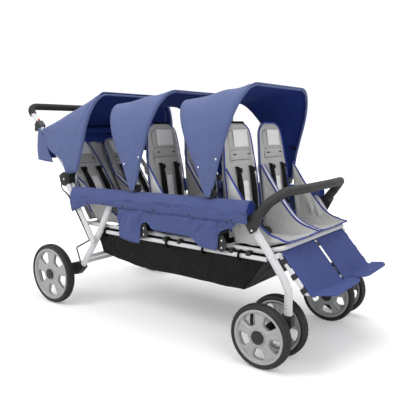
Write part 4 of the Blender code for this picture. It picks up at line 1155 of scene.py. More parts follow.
@dataclass
class RearCanopy(Canopy):
    """The rear canopy, which reaches over the handle tubes and ends in a flap behind the seats."""

    flap_end: float = 0.748
    flap_half: float = 0.262
    side_y: float = 0.3035
    edge: Place = (-0.757, 0.906)
    wrap: float = 0.72
    roll_x: float = -0.712
    roll_half: float = 0.252

    def build(self) -> None:
        """Build the roof, the flap and the roll under the roof's rear edge."""
        self.cloth()
        self.bindings()
        self.flap()
        self.roll()

    def flap_point(self, u: float, v: float) -> Vector:
        """A point of the flap, which wraps forward round the handle tubes.

        Args:
            u: From 0 at the right end to 1 at the left end.
            v: From 0 at the roof to 1 at the lower hem.

        Returns:
            The point.
        """
        out = abs(2 * u - 1)
        side = 1 if u > 0.5 else -1
        z = mix(self.edge[1] + 0.003, self.flap_end, v)
        rear_x = self.edge[0] + 0.003 - 0.022 * math.sin(v * 1.6) - 0.030 * ease((out - 0.62) / 0.12)
        fold = 0.005 * math.sin(u * 34 + v * 3) * v + 0.004 * noise.noise(Vector((u * 16, v * 5, 2.0))) * v
        if out < self.wrap:
            return Vector((rear_x + fold, side * self.flap_half * out / self.wrap, z))
        share = (out - self.wrap) / (1 - self.wrap)
        turn = ease(share / 0.35)
        front_x = -0.657 - 0.62 * (z - 0.730)
        x = mix(rear_x, front_x, max(0.0, (share - 0.25) / 0.75))
        return Vector((x, side * (mix(self.flap_half, self.side_y, turn) + abs(fold) * turn),
                       z - 0.016 * share * v))

    def flap(self) -> None:
        """The flap that hangs from the roof's rear edge, with its hem; its inner face takes the darker navy of
        painted shade.
        """
        self.sheet("rear_flap", self.flap_point, (72, 18), (0.80, 0.18), "handle", BLUE, SHADED_NAVY, held="hung",
                   rests_on=["rear_canopy_cover"])
        edge = [self.flap_point(0.0, step / 18) for step in range(18)]
        edge += [self.flap_point(step / 72, 1.0) for step in range(73)]
        edge += [self.flap_point(1.0, 1 - step / 18) for step in range(1, 19)]
        self.piece("rear_flap_hem", swept([edge], 0.0026, sides=6), "handle", BLUE)

    def roll(self) -> None:
        """The rolled-up curtain under the roof's rear edge, with its two ties, in the darker navy of painted
        shade.
        """
        path, taper = [], []
        for step in range(49):
            y = mix(-self.roll_half, self.roll_half, step / 48)
            path.append(Vector((self.roll_x + 0.004 * noise.noise(Vector((y * 13, 0.0, 4.0))), y,
                                0.904 - 0.008 * math.cos(y * 6)
                                + 0.006 * noise.noise(Vector((y * 17, 3.0, 4.0))))))
            taper.append(1.0 + 0.16 * noise.noise(Vector((y * 22, 1.0, 0.0)))
                         - 0.35 * (abs(step - 24) / 24) ** 8)
        self.piece("rolled_curtain", swept([path], 0.021, 0.018, 16, UPWARD, taper), "handle", SHADED_NAVY)
        angles = [math.pi * step / 10 for step in range(21)]
        rings = [[Vector((self.roll_x + 0.023 * math.cos(angle), y, 0.899 + 0.021 * math.sin(angle)))
                  for angle in angles] for y in (-0.130, 0.130)]
        self.piece("curtain_ties", swept(rings, 0.008, 0.0010, 4), "handle", WEBBING)


@dataclass
class Canopies(Assembly):
    """The three canopies."""

    lean_front: float = -math.radians(17.0)
    lean_rear: float = math.radians(29.0)
    lean_last: float = -math.radians(18.5)
    roof: float = 0.336
    over: float = 0.0146
    clip_rise: float = 0.0015 + 0.0003 + 0.018
    roll_facets: int = 10
    front_drift: tuple[Place, ...] = (
        (0.0, 0.058), (0.020, 0.066), (0.040, 0.067), (0.150, 0.058), (0.264, 0.047), (0.350, 0.032),
        (0.400, 0.018), (0.416, 0.0), (1.0, 0.0))
    rear_drift: tuple[Place, ...] = (
        (0.0, 0.0), (0.060, 0.018), (0.120, 0.004), (0.170, -0.020), (0.235, -0.036), (0.300, -0.020),
        (0.318, 0.0), (1.0, 0.0))

    def build(self) -> None:
        """Build each canopy on its pivot."""
        back = ((0.0, -0.014), (0.140, 0.0), (1.0, 0.0))
        rear = Arch(self.lean_rear, 0.437, 0.343, (0.145, 0.260), drift=back)
        for word, x, top in (("front", 0.385, 0.458), ("middle", -0.041, 0.453)):
            Canopy(f"{word}_canopy", self.pivot(x), Arch(self.lean_front, top), rear,
                   ("chassis", f"{word}_bow"), (-0.190, 0.015)).build()
        edge_x, edge_z = slanted(HANDLE_FOLD, HANDLE_LEAN, self.roof, self.over)
        x, z = REAR_CLIP
        rear = Arch(math.atan2(x - edge_x, edge_z - z), math.hypot(edge_x - x, edge_z - z),
                    HANDLE_Y + self.over, (self.over, self.over), drift=self.rear_drift)
        front = Arch(self.lean_last, 0.416, drift=self.front_drift)
        RearCanopy("rear_canopy", REAR_CLIP, front, rear, ("handle", "rear_bow"), (-0.200, 0.010), sag=0.020,
                   tongue=0.004, wrinkle=0.0095, edge=(edge_x, edge_z)).build()

    def pivot(self, x: float) -> Place:
        """The pivot of a canopy clip that stands on the side panel at x."""
        return x, panel_top(x) - PANEL_HALF * (1 - math.cos(math.pi / self.roll_facets)) + self.clip_rise


# Side panels


@dataclass
class SidePanel(Assembly):
    """The padded cloth roll over a side rail, with its flap, its snaps and the skirt under it."""

    side: Side
    middle_y: float = 0.3172
    skirt_y: float = 0.3345
    plate_y: float = 0.3275
    plates_x: Place = (0.008, 0.442)
    outer_share: float = 0.36
    inner_share: float = 0.90
    hem_z: float = 0.548
    skirt_top: float = 0.560
    stations: tuple[Place, ...] = (
        (-0.145, 0.404), (-0.120, 0.396), (-0.075, 0.390), (-0.016, 0.388), (-0.010, 0.420), (-0.006, 0.468),
        (0.008, 0.488), (0.030, 0.494), (0.050, 0.482), (0.064, 0.463), (0.180, 0.460), (0.290, 0.458),
        (0.325, 0.430), (0.345, 0.421), (0.418, 0.419), (0.425, 0.436), (0.428, 0.480), (0.440, 0.500),
        (0.452, 0.507), (0.500, 0.522), (0.514, 0.536), (0.518, 0.550))

    def hem(self, u: float) -> float:
        """Height of the flap's lower edge, which dips between the snaps."""
        return self.hem_z - 0.054 * max(0.0, 1 - u / 0.16) ** 1.5 - 0.003 * abs(math.sin(u * math.pi * 4.5))

    def surface(self, u: float, v: float) -> Vector:
        """A point of the roll.

        Args:
            u: From 0 at the rear to 1 at the front.
            v: From 0 at the outer hem over the rail to 1 at the inner hem.

        Returns:
            The point.
        """
        x = mix(PANEL_REAR, PANEL_FRONT, u)
        shoulder = panel_top(x) - PANEL_HALF
        pucker = noise.noise(Vector((x * 16, v * 5, self.side.value * 3.0)))
        if v < self.outer_share:
            share = v / self.outer_share
            drape = math.sin(u * math.pi * 4.5 + 1.2) ** 2
            drape += 0.6 * noise.noise(Vector((x * 9 - share * 2.5, share * 2, 7.0)))
            crease = noise.noise(Vector((x * 13 + share * 1.6, share * 2.4, self.side.value * 8.0)))
            bulge = 0.0035 + 0.0055 * pucker + 0.0050 * drape - 0.016 * abs(crease)
            bulge = bulge * math.sin(math.pi * share) + 0.004 * share
            return self.side.at(x, self.middle_y + PANEL_HALF + bulge, mix(self.hem(u), shoulder, share))
        if v < self.inner_share:
            angle = math.pi * (v - self.outer_share) / (self.inner_share - self.outer_share)
            reach = PANEL_HALF + 0.0016 * pucker * math.sin(angle)
            return self.side.at(x, self.middle_y + reach * math.cos(angle),
                                shoulder + reach * math.sin(angle))
        drop = 0.014 * (v - self.inner_share) / (1 - self.inner_share)
        return self.side.at(x, self.middle_y - PANEL_HALF, shoulder - drop)

    def skirt(self, u: float, v: float) -> Vector:
        """A point of the skirt.

        Args:
            u: From 0 at the rear to 1 at the front.
            v: From 0 at the top to 1 at the arched lower edge.

        Returns:
            The point.
        """
        spot = u * (len(self.stations) - 1)
        first = min(int(spot), len(self.stations) - 2)
        x, low = (mix(here, there, spot - first)
                  for here, there in zip(self.stations[first], self.stations[first + 1]))
        z = mix(self.skirt_top, low, v)
        slant = noise.noise(Vector((x * 20 - z * 16, z * 5, self.side.value * 5.0)))
        fold = (0.024 * slant + 0.0040 * math.sin(x * 58 + z * 30)) * math.sin(math.pi * min(1.0, v * 1.2))
        return self.side.at(x, self.skirt_y + abs(fold), z)

    def build(self) -> None:
        """Build the roll, the skirt, their hems, the plates behind them and the snaps."""
        named = self.side.named
        roll = self.sheet(named("side_roll"), self.surface, (96, 26), (1.05, 0.20), "chassis", PANEL_BLUE,
                          held="stretched", rests_on=[named("upper_rail")], nodes=(named("side_panel"),))
        self.sheet(named("side_skirt"), self.skirt, (102, 18), (0.6, 0.14), "chassis", PANEL_BLUE,
                   held="hung", rests_on=[roll])
        hems = swept(([self.surface(step / 96, 0.0) for step in range(97)],
                      [self.skirt(step / 102, 1.0) for step in range(103)],
                      [self.surface(0.0, step / 26) for step in range(27)],
                      [self.surface(1.0, step / 26) for step in range(27)]), 0.0021, sides=6)
        self.piece(named("side_panel_hems"), hems, "chassis", PANEL_BLUE)
        self.plugs()
        self.brackets()
        shares = [(x - PANEL_REAR) / (PANEL_FRONT - PANEL_REAR)
                  for x in (-0.350, -0.235, -0.105, 0.085, 0.290, 0.500)]
        spots = [self.surface(u, 0.045) + self.side.at(0, 0.0015, 0) for u in shares]
        self.piece(named("panel_snaps"), domes(spots, 0.0055, 0.0020), "chassis", BLACK)

    def plugs(self) -> None:
        """The cloth that closes the roll's two ends, in the darker navy of painted shade."""
        ends = bmesh.new()
        reach = PANEL_HALF - 0.0006
        for x in (PANEL_REAR + 0.002, PANEL_FRONT - 0.002):
            plug = bmesh.new()
            bmesh.ops.create_cone(plug, cap_ends=True, segments=28, radius1=1.0, radius2=1.0, depth=0.003)
            for vert in plug.verts:
                vert.co = (x + vert.co.z, self.side.value * self.middle_y + vert.co.x * reach,
                           panel_top(x) - PANEL_HALF + vert.co.y * reach)
            absorb(ends, plug)
        self.piece(self.side.named("panel_ends"), ends, "chassis", SHADED_NAVY)

    def brackets(self) -> None:
        """The black plates that carry the rails, seen through the skirt's arches, with their rivets."""
        plates = bmesh.new()
        for x in self.plates_x:
            plate = bmesh.new()
            bmesh.ops.create_cone(plate, cap_ends=True, segments=32, radius1=1.0, radius2=1.0, depth=0.004)
            for vert in plate.verts:
                rise = mix(0.020, 0.027, (1 - vert.co.y) / 2)
                vert.co = (x + vert.co.x * rise, self.side.value * self.plate_y + vert.co.z,
                           0.447 + vert.co.y * 0.034)
            absorb(plates, plate)
        self.piece(self.side.named("rail_plates"), plates, "chassis", BLACK)
        spots = [self.side.at(x, 0.3292, height) for x in self.plates_x for height in (0.459, 0.430)]
        self.piece(self.side.named("rail_plate_rivets"), domes(spots, 0.0045, 0.0016), "chassis", STEEL)


# Seats


@dataclass
class SeatRow(Assembly):
    """One row: the seat cloth of its two seats, two padded backrests and two harnesses."""

    row: int
    lean: float = math.radians(8)
    half_width: float = 0.283
    wing_top: float = 0.285
    front_lift: float = 0.0
    inset: float = 0.0
    gather: float = 0.034
    pitch: float = 0.430
    seat_y: float = 0.138
    pan_z: float = 0.4463
    sag: float = 0.004
    back_length: float = 0.503
    back_start: float = 0.030
    back_half: float = 0.122
    back_top_half: float = 0.095
    shoulder: float = 0.55
    pad_half: float = 0.018
    rear_gap: float = 0.022
    reach: float = 0.253 + 0.018
    strap_y: float = 0.051
    slot_y: float = 0.0535
    panel: float = 0.635
    seam_lines: Place = (0.345, 0.388)

    @property
    def hinge(self) -> Place:
        """(x, z) of the line that the backrests recline on."""
        return 0.447 - self.row * self.pitch, 0.430

    def named(self, stem: str, side: Side) -> str:
        """The name of a piece of this row on one side."""
        return side.named(f"{stem}_row_{self.row + 1}")

    def fit(self, stem: str, bm: bmesh.types.BMesh, side: Side, finish: Finish,
            **options: object) -> bpy.types.Object:
        """Make a piece that reclines with the backrest on one side."""
        return self.piece(self.named(stem, side), bm, side.named(f"back_{self.row + 1}"), finish, **options)

    def build(self) -> None:
        """Build the seat cloth, the backrests and the harnesses."""
        self.sling()
        for side in Side:
            self.backrest(side)
            self.back_piping(side)
            self.back_panel(side)
            self.straps(side)
            self.strip(side)
            self.buckle(side)

    def wing(self, out: float, height: float) -> Place:
        """The height and |y| across half a row.

        Args:
            out: From 0 at the middle ridge to 1 at the top of the outer wing.
            height: The wing's height here.

        Returns:
            The height over the seat and the |y|.
        """
        top = self.half_width
        stations = ((0.0, 1.0, 0.0), (0.1, 1.0, 0.014), (0.2, 0.5, 0.018), (0.3, 0.0, 0.026),
                    (0.7, 0.0, top - 0.014), (0.8, 0.33, top - 0.005), (0.9, 0.66, top - 0.002),
                    (1.0, 1.0, top))
        for (start, low, near), (end, high, far) in zip(stations, stations[1:]):
            if out <= end + 1e-6:
                share = (out - start) / (end - start)
                return mix(low, high, share) * height, mix(near, far, share)
        return height, top

    def seat(self, u: float, v: float) -> Vector:
        """A point of the seat cloth.

        Args:
            u: From 0 at the right to 1 at the left.
            v: From 0 at the backrest to 1 at the front edge.

        Returns:
            The point.
        """
        rear_x = self.hinge[0] + self.rear_gap
        front_x = self.hinge[0] + self.reach
        pan = self.pan_z + self.front_lift * max(0.0, (v - 0.5) / 0.5) ** 1.2
        height, y = self.wing(abs(2 * u - 1), self.wing_top * (1 - v) ** 1.9 + 0.012 * min(1.0, (1 - v) * 6))
        x = mix(rear_x, front_x, v)
        if height > 0:
            x -= math.tan(self.lean) * height * (1 - v) * 0.9
        quilt = 0.0022 * abs(math.sin(v * math.pi * 3)) * (1 if height == 0 else 0.3)
        sag = -self.sag * math.sin(math.pi * min(1.0, max(0.0, (y - 0.03) / 0.24))) if height == 0 else 0.0
        pucker = 0.0020 * noise.noise(Vector((x * 24, u * 12, self.row * 3.0)))
        side = 1 if u > 0.5 else -1
        across = (abs(2 * u - 1) - 0.7) / 0.3
        if across > 0:
            gather = abs(noise.noise(Vector((x * 30 + height * 9, height * 5, side * 4.0))))
            y -= self.gather * gather * ease(height / 0.08) * math.sin(math.pi * across)
        return Vector((x, side * y, pan + height + sag + quilt + pucker))

    def sling(self) -> None:
        """The padded seat cloth, with piping along its wings and its front edge."""
        word = f"row_{self.row + 1}"
        bm = cloth_grid(60, 24, self.seat, (0.9, 0.27))
        obj = self.piece(f"seat_cloth_{word}", bm, "chassis", PALE, nodes=(f"seat_sling_{word}",))
        self.thicken(obj, 0.0048)
        edges = [[self.seat(u, step / 24) + Vector((0, 0, 0.0018)) for step in range(25)]
                 for u in (0.0, 0.45, 0.55, 1.0)]
        edges.append([self.seat(step / 60, 1.0) for step in range(61)])
        self.piece(f"seat_piping_{word}", swept(edges, 0.0040), "chassis", PIPING)

    def back_place(self, side: Side) -> Matrix:
        """Where a backrest stands: its own z runs up the back, x points forward and y to the left."""
        x, z = self.hinge
        return Matrix.Translation((x, side.value * self.seat_y, z)) @ Matrix.Rotation(-self.lean, 4, "Y")

    def back_half_width(self, share: float) -> float:
        """Half the width of the pad.

        Args:
            share: The share of the pad's height.

        Returns:
            Half the width there.
        """
        if share < self.shoulder:
            return self.back_half - self.inset
        rise = (share - self.shoulder) / (1 - self.shoulder)
        half = self.back_half - (self.back_half - self.back_top_half) * rise
        return half * (1 - 0.30 * max(0.0, (rise - 0.72) / 0.28) ** 2) - self.inset

    def backrest(self, side: Side) -> None:
        """The padded backrest on one side.

        Args:
            side: The side that it stands on.
        """
        bm = self.pad()
        bmesh.ops.transform(bm, matrix=self.back_place(side), verts=bm.verts[:])
        pad = self.fit("back_pad", bm, side, GREY, nodes=(self.named("backrest", side),), angle=60.0)

    def pad(self) -> bmesh.types.BMesh:
        """Shape the pad in its own place: a crowned, closed form with sewn channels.

        Returns:
            The pad's mesh.
        """
        bm = bmesh.new()
        bmesh.ops.create_cone(bm, cap_ends=True, segments=72, radius1=1.0, radius2=1.0, depth=1.0)
        uprights = [edge for edge in bm.edges if abs(edge.verts[0].co.z - edge.verts[1].co.z) > 0.5]
        bmesh.ops.subdivide_edges(bm, edges=uprights, cuts=71)
        for vert in bm.verts:
            share = vert.co.z + 0.5
            angle = math.atan2(vert.co.y, vert.co.x)
            half = self.back_half_width(share)
            crown = 0.80 + 0.20 * math.sin(math.pi * min(1.0, share * 1.02))
            ends = math.sqrt(max(0.05, 1 - max(0.0, (share - 0.955) / 0.045) ** 2))
            ends *= 0.7 if share < 0.01 else 1.0
            across = math.copysign(abs(math.sin(angle)) ** 0.55, math.sin(angle))
            depth = math.copysign(abs(math.cos(angle)) ** 0.60, math.cos(angle))
            depth *= self.pad_half * crown * ends
            height = self.back_start + (self.back_length - self.back_start) * share
            y = across * half * (0.985 + 0.015 * ends)
            if depth > 0:
                depth -= self.seam_depth(y / half, height)
            vert.co = (depth, y, height)
        return bm

    def seam_depth(self, across: float, height: float) -> float:
        """How deep the sewn channels of the pad's front are at a place, where its middle panel stands out.

        Args:
            across: The share of the pad's half width, from -1 to 1.
            height: The height up the pad.

        Returns:
            The depth.
        """
        inner = ease((0.655 - abs(across)) / 0.045)
        depth = 0.0060 * (1 - inner) + 0.0060 * math.exp(-((abs(across) - self.panel) / 0.022) ** 2)
        for line in self.seam_lines:
            depth += 0.0050 * inner * math.exp(-((height - line) / 0.0042) ** 2)
        if 0.255 < height < 0.345:
            depth += 0.0035 * math.exp(-((abs(across) - 0.22) / 0.022) ** 2)
        ripple = abs(noise.noise(Vector((across * 4.0, height * 15, self.row * 2.0))))
        return depth + 0.0070 * ripple * ease((0.40 - height) / 0.06)

    def back_piping(self, side: Side) -> None:
        """The piping round a backrest, with the black top edge of the near ones.

        Args:
            side: The side that the backrest stands on.
        """
        place = self.back_place(side)
        run = [(self.back_half_width(step / 40) + 0.0006, mix(self.back_start, self.back_length, step / 40))
               for step in range(2, 39)]
        crest = [Vector((0.004, y * self.back_half_width(0.97) * 0.72, self.back_length + 0.0004))
                 for y in (-0.9, -0.4, 0.4, 0.9)]
        path = [Vector((0.004, -y, z)) for y, z in run] + crest
        path += [Vector((0.004, y, z)) for y, z in reversed(run)]
        path = smooth_path([place @ point for point in path], 2)
        self.fit("back_piping", swept([path], 0.0038, 0.0030, up=OFF_BACK), side, PIPING)
        if side is Side.RIGHT and self.row < 2:
            edge = [place @ (point + Vector((0.002, 0, 0.0012))) for point in smooth_path(crest, 4)]
            self.fit("back_top_edge", swept([edge], 0.0050, 0.0034, up=OFF_BACK), side, WEBBING)

    def back_panel(self, side: Side) -> None:
        """Dark grey lines of painted shade along the sewn channels of a backrest's middle panel, its strap slots
        and the blank patch on its head.

        Args:
            side: The side that the backrest stands on.
        """
        place = self.back_place(side)
        wide = self.back_half - self.inset
        low, high = 0.110, 0.452
        edge = self.panel * wide
        upright = [Vector((0.0075, -edge, mix(low, high, step / 20))) for step in range(21)]
        over = [Vector((0.0085, edge * math.sin(turn), high + 0.030 * math.cos(turn)))
                for turn in (math.radians(degrees) for degrees in range(-75, 76, 15))]
        back = [Vector((point.x, -point.y, point.z)) for point in reversed(upright)]
        # Painted shade: dark lines round the middle panel and across it, in the sewn channels.
        shade_lines = swept([[place @ point for point in upright + over + back]], 0.0019, sides=6, up=OFF_BACK)
        for height in self.seam_lines:
            line = [place @ Vector((0.0128, y * 0.610 * wide, height)) for y in (-1.0, -0.5, 0.0, 0.5, 1.0)]
            sweep(shade_lines, line, 0.0015, 0.0015, 6, OFF_BACK)
        self.fit("back_seams", shade_lines, side, CHANNEL_SHADE)
        spots = [place @ Vector((0.0165, y, 0.368)) for y in (self.slot_y, -self.slot_y)]
        self.fit("back_slots", blocks(spots, (0.004, 0.020, 0.0045), -self.lean, 0.001), side, WEBBING)
        patch = bmesh.new()
        bmesh.ops.create_grid(patch, x_segments=10, y_segments=8, size=0.5)
        for vert in patch.verts:
            y, height = vert.co.x * 0.110, 0.436 + vert.co.y * 0.076
            bulge = 0.0205 - 0.9 * (abs(y) / 0.103) ** 4 * 0.018
            vert.co = place @ Vector((min(bulge, 0.0200), y, height))
        self.thicken(self.fit("back_patch", patch, side, PATCH), 0.0012)

    def straps(self, side: Side) -> None:
        """The two shoulder straps of a backrest, each with a cover and two adjusters.

        Args:
            side: The side that the backrest stands on.
        """
        place = self.back_place(side)
        straps = bmesh.new()
        for y in (-self.strap_y, self.strap_y):
            line = [Vector((x, y * closer, z)) for x, closer, z in
                    ((0.014, 1.0, 0.318), (0.026, 1.0, 0.305), (0.027, 1.0, 0.250), (0.026, 1.0, 0.180),
                     (0.028, 0.98, 0.120), (0.036, 0.85, 0.075), (0.050, 0.60, 0.046))]
            sweep(straps, [place @ point for point in smooth_path(line, 5)], 0.0125, 0.0013, 4, OFF_STRAP)
            line = [Vector((x, y, z)) for x, z in ((0.030, 0.285), (0.032, 0.215), (0.031, 0.140))]
            cover = [place @ point for point in smooth_path(line, 8)]
            taper = [0.80 + 0.20 * math.sin(math.pi * step / (len(cover) - 1)) for step in range(len(cover))]
            sweep(straps, cover, 0.0155, 0.0042, 12, OFF_STRAP, taper)
            spots = [place @ Vector((x, y, z)) for x, z in ((0.031, 0.300), (0.034, 0.128))]
            absorb(straps, blocks(spots, (0.009, 0.032, 0.020), -self.lean))
        self.fit("shoulder_straps", straps, side, WEBBING)

    def strip(self, side: Side) -> None:
        """The pale quilted strip between the shoulder straps.

        Args:
            side: The side that the backrest stands on.
        """
        place = self.back_place(side)

        def quilted(u: float, v: float) -> Vector:
            """A point of the strip.

            Args:
                u: From 0 to 1 across.
                v: From 0 at the top to 1 at the bottom.

            Returns:
                The point.
            """
            height = mix(0.256, 0.050, v)
            depth = 0.021 + 0.020 * ease((0.14 - height) / 0.10) + 0.0022 * abs(math.sin(v * math.pi * 6))
            return place @ Vector((depth - 0.004 * abs(2 * u - 1) ** 3, (2 * u - 1) * 0.0215, height))

        strip = self.fit("centre_strip", cloth_grid(8, 48, quilted, (0.043, 0.21)), side, PATCH)
        self.thicken(strip, 0.0030)

    def buckle(self, side: Side) -> None:
        """The buckle on a seat, with its waist straps, their adjusters and the strap to the front.

        Args:
            side: The side that the seat is on.
        """
        x, y, z = self.hinge[0] + 0.075, side.value * self.seat_y, self.pan_z
        buckle = blocks([Vector((x, y, z + 0.017))], (0.034, 0.046, 0.014), math.radians(-20), 0.004)
        for sign in (1, -1):
            line = [Vector((x + ahead, y + sign * out, z + rise)) for ahead, out, rise in
                    ((-0.004, 0.022, 0.016), (-0.010, 0.055, 0.013), (-0.020, 0.085, 0.020),
                     (-0.046, 0.106, 0.028))]
            sweep(buckle, smooth_path(line, 5), 0.0135, 0.0030, 8, Vector((0.3, 0.0, 1.0)))
            spot = Vector((x - 0.008, y + sign * 0.052, z + 0.017))
            absorb(buckle, blocks([spot], (0.030, 0.026, 0.010), math.radians(-10), 0.003))
        line = [Vector((x + ahead, y, z + rise)) for ahead, rise in
                ((0.016, 0.012), (0.045, 0.007), (0.070, 0.006))]
        sweep(buckle, smooth_path(line, 5), 0.0125, 0.0013, 4, UPWARD)
        self.piece(self.named("waist_buckle", side), buckle, "chassis", BLACK)


@dataclass
class Seats(Assembly):
    """The three rows of seats.

    The first row's cloth stands tube_rise over the tube under its front edge, at tube_share of its full lift.
    """

    tube_rise: float = 0.026 + 0.001
    tube_share: float = 0.824

    def build(self) -> None:
        """Build the rows, the last one reclined, and the cloth behind it."""
        last = SeatRow(2, math.radians(34), 0.266, 0.200, inset=0.014, gather=0.004)
        for row in (SeatRow(0, front_lift=self.tube_rise / self.tube_share), SeatRow(1), last):
            row.build()
        self.curtain(last)

    def curtain(self, last: SeatRow) -> None:
        """The grey cloth behind the last row, which fills the space between its backrests.

        Args:
            last: The last row.
        """
        place = Matrix.Translation((last.hinge[0], 0.0, last.hinge[1])) @ Matrix.Rotation(-last.lean, 4, "Y")

        def surface(u: float, v: float) -> Vector:
            """A point of the cloth.

            Args:
                u: From 0 to 1 across.
                v: From 0 at the bottom to 1 at the top.

            Returns:
                The point.
            """
            y = (2 * u - 1) * 0.255
            belly = 0.018 * math.exp(-(y / 0.024) ** 2)
            fold = 0.004 * noise.noise(Vector((y * 18, v * 4, 6.0)))
            return place @ Vector((-0.0245 + belly + fold, y, mix(0.030, 0.492, v)))

        self.sheet("back_curtain", surface, (56, 30), (0.51, 0.46), "chassis", GREY, held="hung",
                   rests_on=["seat_frame"])


# Bumper bar, footrest, basket and handle


@dataclass
class BumperBar(Assembly):
    """The foam-covered grab bar with its two moulded brackets."""

    x: float = 0.708
    z: float = 0.669
    bow: float = 0.018
    radius: float = 0.0188
    plate_half: float = 0.004
    arm_y: float = FRAME_Y + 0.0125 + 0.0003 + plate_half
    outline: tuple[Place, ...] = (
        (0.541, 0.556), (0.577, 0.501), (0.604, 0.517), (0.633, 0.574), (0.618, 0.600), (0.575, 0.578))

    def build(self) -> None:
        """Build the foam bar, the brackets and their rivets."""
        half = ((0.602, self.arm_y - 0.010, 0.572), (0.648, self.arm_y - 0.014, 0.628),
                (self.x - self.bow, 0.262, self.z - 0.002), (self.x, 0.110, self.z))
        corners = [Side.LEFT.at(*spot) for spot in half] + [Side.RIGHT.at(*spot) for spot in reversed(half)]
        route = rounded_route(corners, 0.030, 6)
        dense = []
        for first, second in zip(route, route[1:]):
            count = max(1, int((second - first).length / 0.012))
            dense += [first.lerp(second, step / count) for step in range(count)]
        dense.append(route[-1])
        taper = [1.0 + 0.10 * ease(1 - min(step, len(dense) - 1 - step) / 8) for step in range(len(dense))]
        bm = swept([dense], self.radius, sides=20, up=Vector((0.5, 0.0, 1.0)), taper=taper)
        for side in Side:
            self.bracket(bm, side.value * self.arm_y)
        self.piece("grab_bar", bm, "chassis", FOAM, nodes=("bumper_bar",))
        spots = [side.at(x, self.arm_y + 0.0042, z) for side in Side
                 for x, z in ((0.556, 0.548), (0.584, 0.517), (0.610, 0.578))]
        self.piece("grab_bar_rivets", domes(spots, 0.0045, 0.0018), "chassis", STEEL)

    def bracket(self, bm: bmesh.types.BMesh, y: float) -> None:
        """Add a bracket plate with rounded edges.

        Args:
            bm: The bar's mesh.
            y: The middle of the plate's thickness.
        """
        verts = [bm.verts.new((x, y - self.plate_half, z)) for x, z in self.outline]
        made = bmesh.ops.extrude_face_region(bm, geom=[bm.faces.new(verts)])["geom"]
        top = [item for item in made if isinstance(item, bmesh.types.BMVert)]
        bmesh.ops.translate(bm, vec=(0, 2 * self.plate_half, 0), verts=top)
        edges = list({edge for vert in [*verts, *top] for edge in vert.link_edges})
        bmesh.ops.bevel(bm, geom=edges, offset=0.0024, offset_type="OFFSET", segments=3, profile=0.5,
                        affect="EDGES", material=-1)


@dataclass
class Footrest(Assembly):
    """The two cloth pads of the folding footrest, with their hems, snaps and clips."""

    hinge: Place = (0.690, 0.430)
    length: float = 0.178
    lean: float = math.radians(40.7)
    tube: float = 0.007
    inner_y: float = 0.015
    outer_y: float = 0.287
    lip: float = 0.097
    fold: float = 0.55
    off_tube: float = 0.0033
    past_tube: float = 0.004

    def at(self, distance: float, lift: float) -> Place:
        """(x, z) at a distance down the footrest and a lift off its tubes."""
        return slanted(self.hinge, self.lean, -distance, lift)

    def pad(self, side: Side, u: float, v: float) -> Vector:
        """A point of a pad.

        Args:
            side: The side that the pad is on.
            u: From 0 at its inner edge to 1 at its outer edge.
            v: From 0 at its top to 1 at the front of its lip.

        Returns:
            The point.
        """
        lift = self.tube + self.off_tube
        reach = self.length + self.past_tube
        rough = noise.noise(Vector((u * 11, v * 1.6, side.value * 2.0)))
        puff = (0.0018 * abs(math.sin(math.pi * u * 2.0)) + 0.0060 * max(0.0, rough)) * math.sin(math.pi * u)
        y = mix(self.inner_y, self.outer_y, u)
        if v < self.fold:
            x, z = self.at(mix(-0.008, reach, v / self.fold), lift + puff)
            return side.at(x, y, z)
        share = (v - self.fold) / (1 - self.fold)
        x, z = self.at(reach, lift + puff * (1 - share))
        round_off = 1 - 0.26 * abs(2 * u - 1) ** 8
        x += self.lip * share * (1 - (1 - round_off) * share)
        z += 0.010 * share - 0.010 * math.sin(math.pi * min(1.0, share / 0.30)) * (1 - share)
        return side.at(x, y, z)

    def build(self) -> None:
        """Build both pads, their hems, snaps and clips."""
        facing = Vector((math.cos(self.lean), 0.0, math.sin(self.lean)))
        for side in Side:
            surface = partial(self.pad, side)
            # The pads and their hems take the footrest blue, darkened as painted shade.
            bm = cloth_grid(36, 44, surface, (0.272, 0.28))
            pad = self.piece(side.named("footrest_cloth"), bm, "footrest", FOOT_BLUE_SHADED,
                             nodes=(side.named("footrest_pad"),))
            self.thicken(pad, 0.0044)
            edge = [surface(0.0, step / 44) for step in range(2, 45)]
            edge += [surface(step / 36, 1.0) for step in range(1, 37)]
            edge += [surface(1.0, 1 - step / 44) for step in range(1, 43)]
            self.piece(side.named("footrest_hem"), swept([edge], 0.0036), "footrest", FOOT_BLUE_SHADED)
            spots = [surface(u, 0.088) + facing * 0.0025 for u in (0.30, 0.62)]
            self.piece(side.named("footrest_snaps"), domes(spots, 0.0050, 0.0018, facing), "footrest", BLACK)
            places = (self.at(distance, 0.0) for distance in (0.030, 0.098, 0.160))
            spots = [side.at(x, 0.297, z) for x, z in places]
            clips = blocks(spots, (0.022, 0.018, 0.018), math.radians(49.3), 0.003)
            self.piece(side.named("footrest_clips"), clips, "footrest", BLACK)


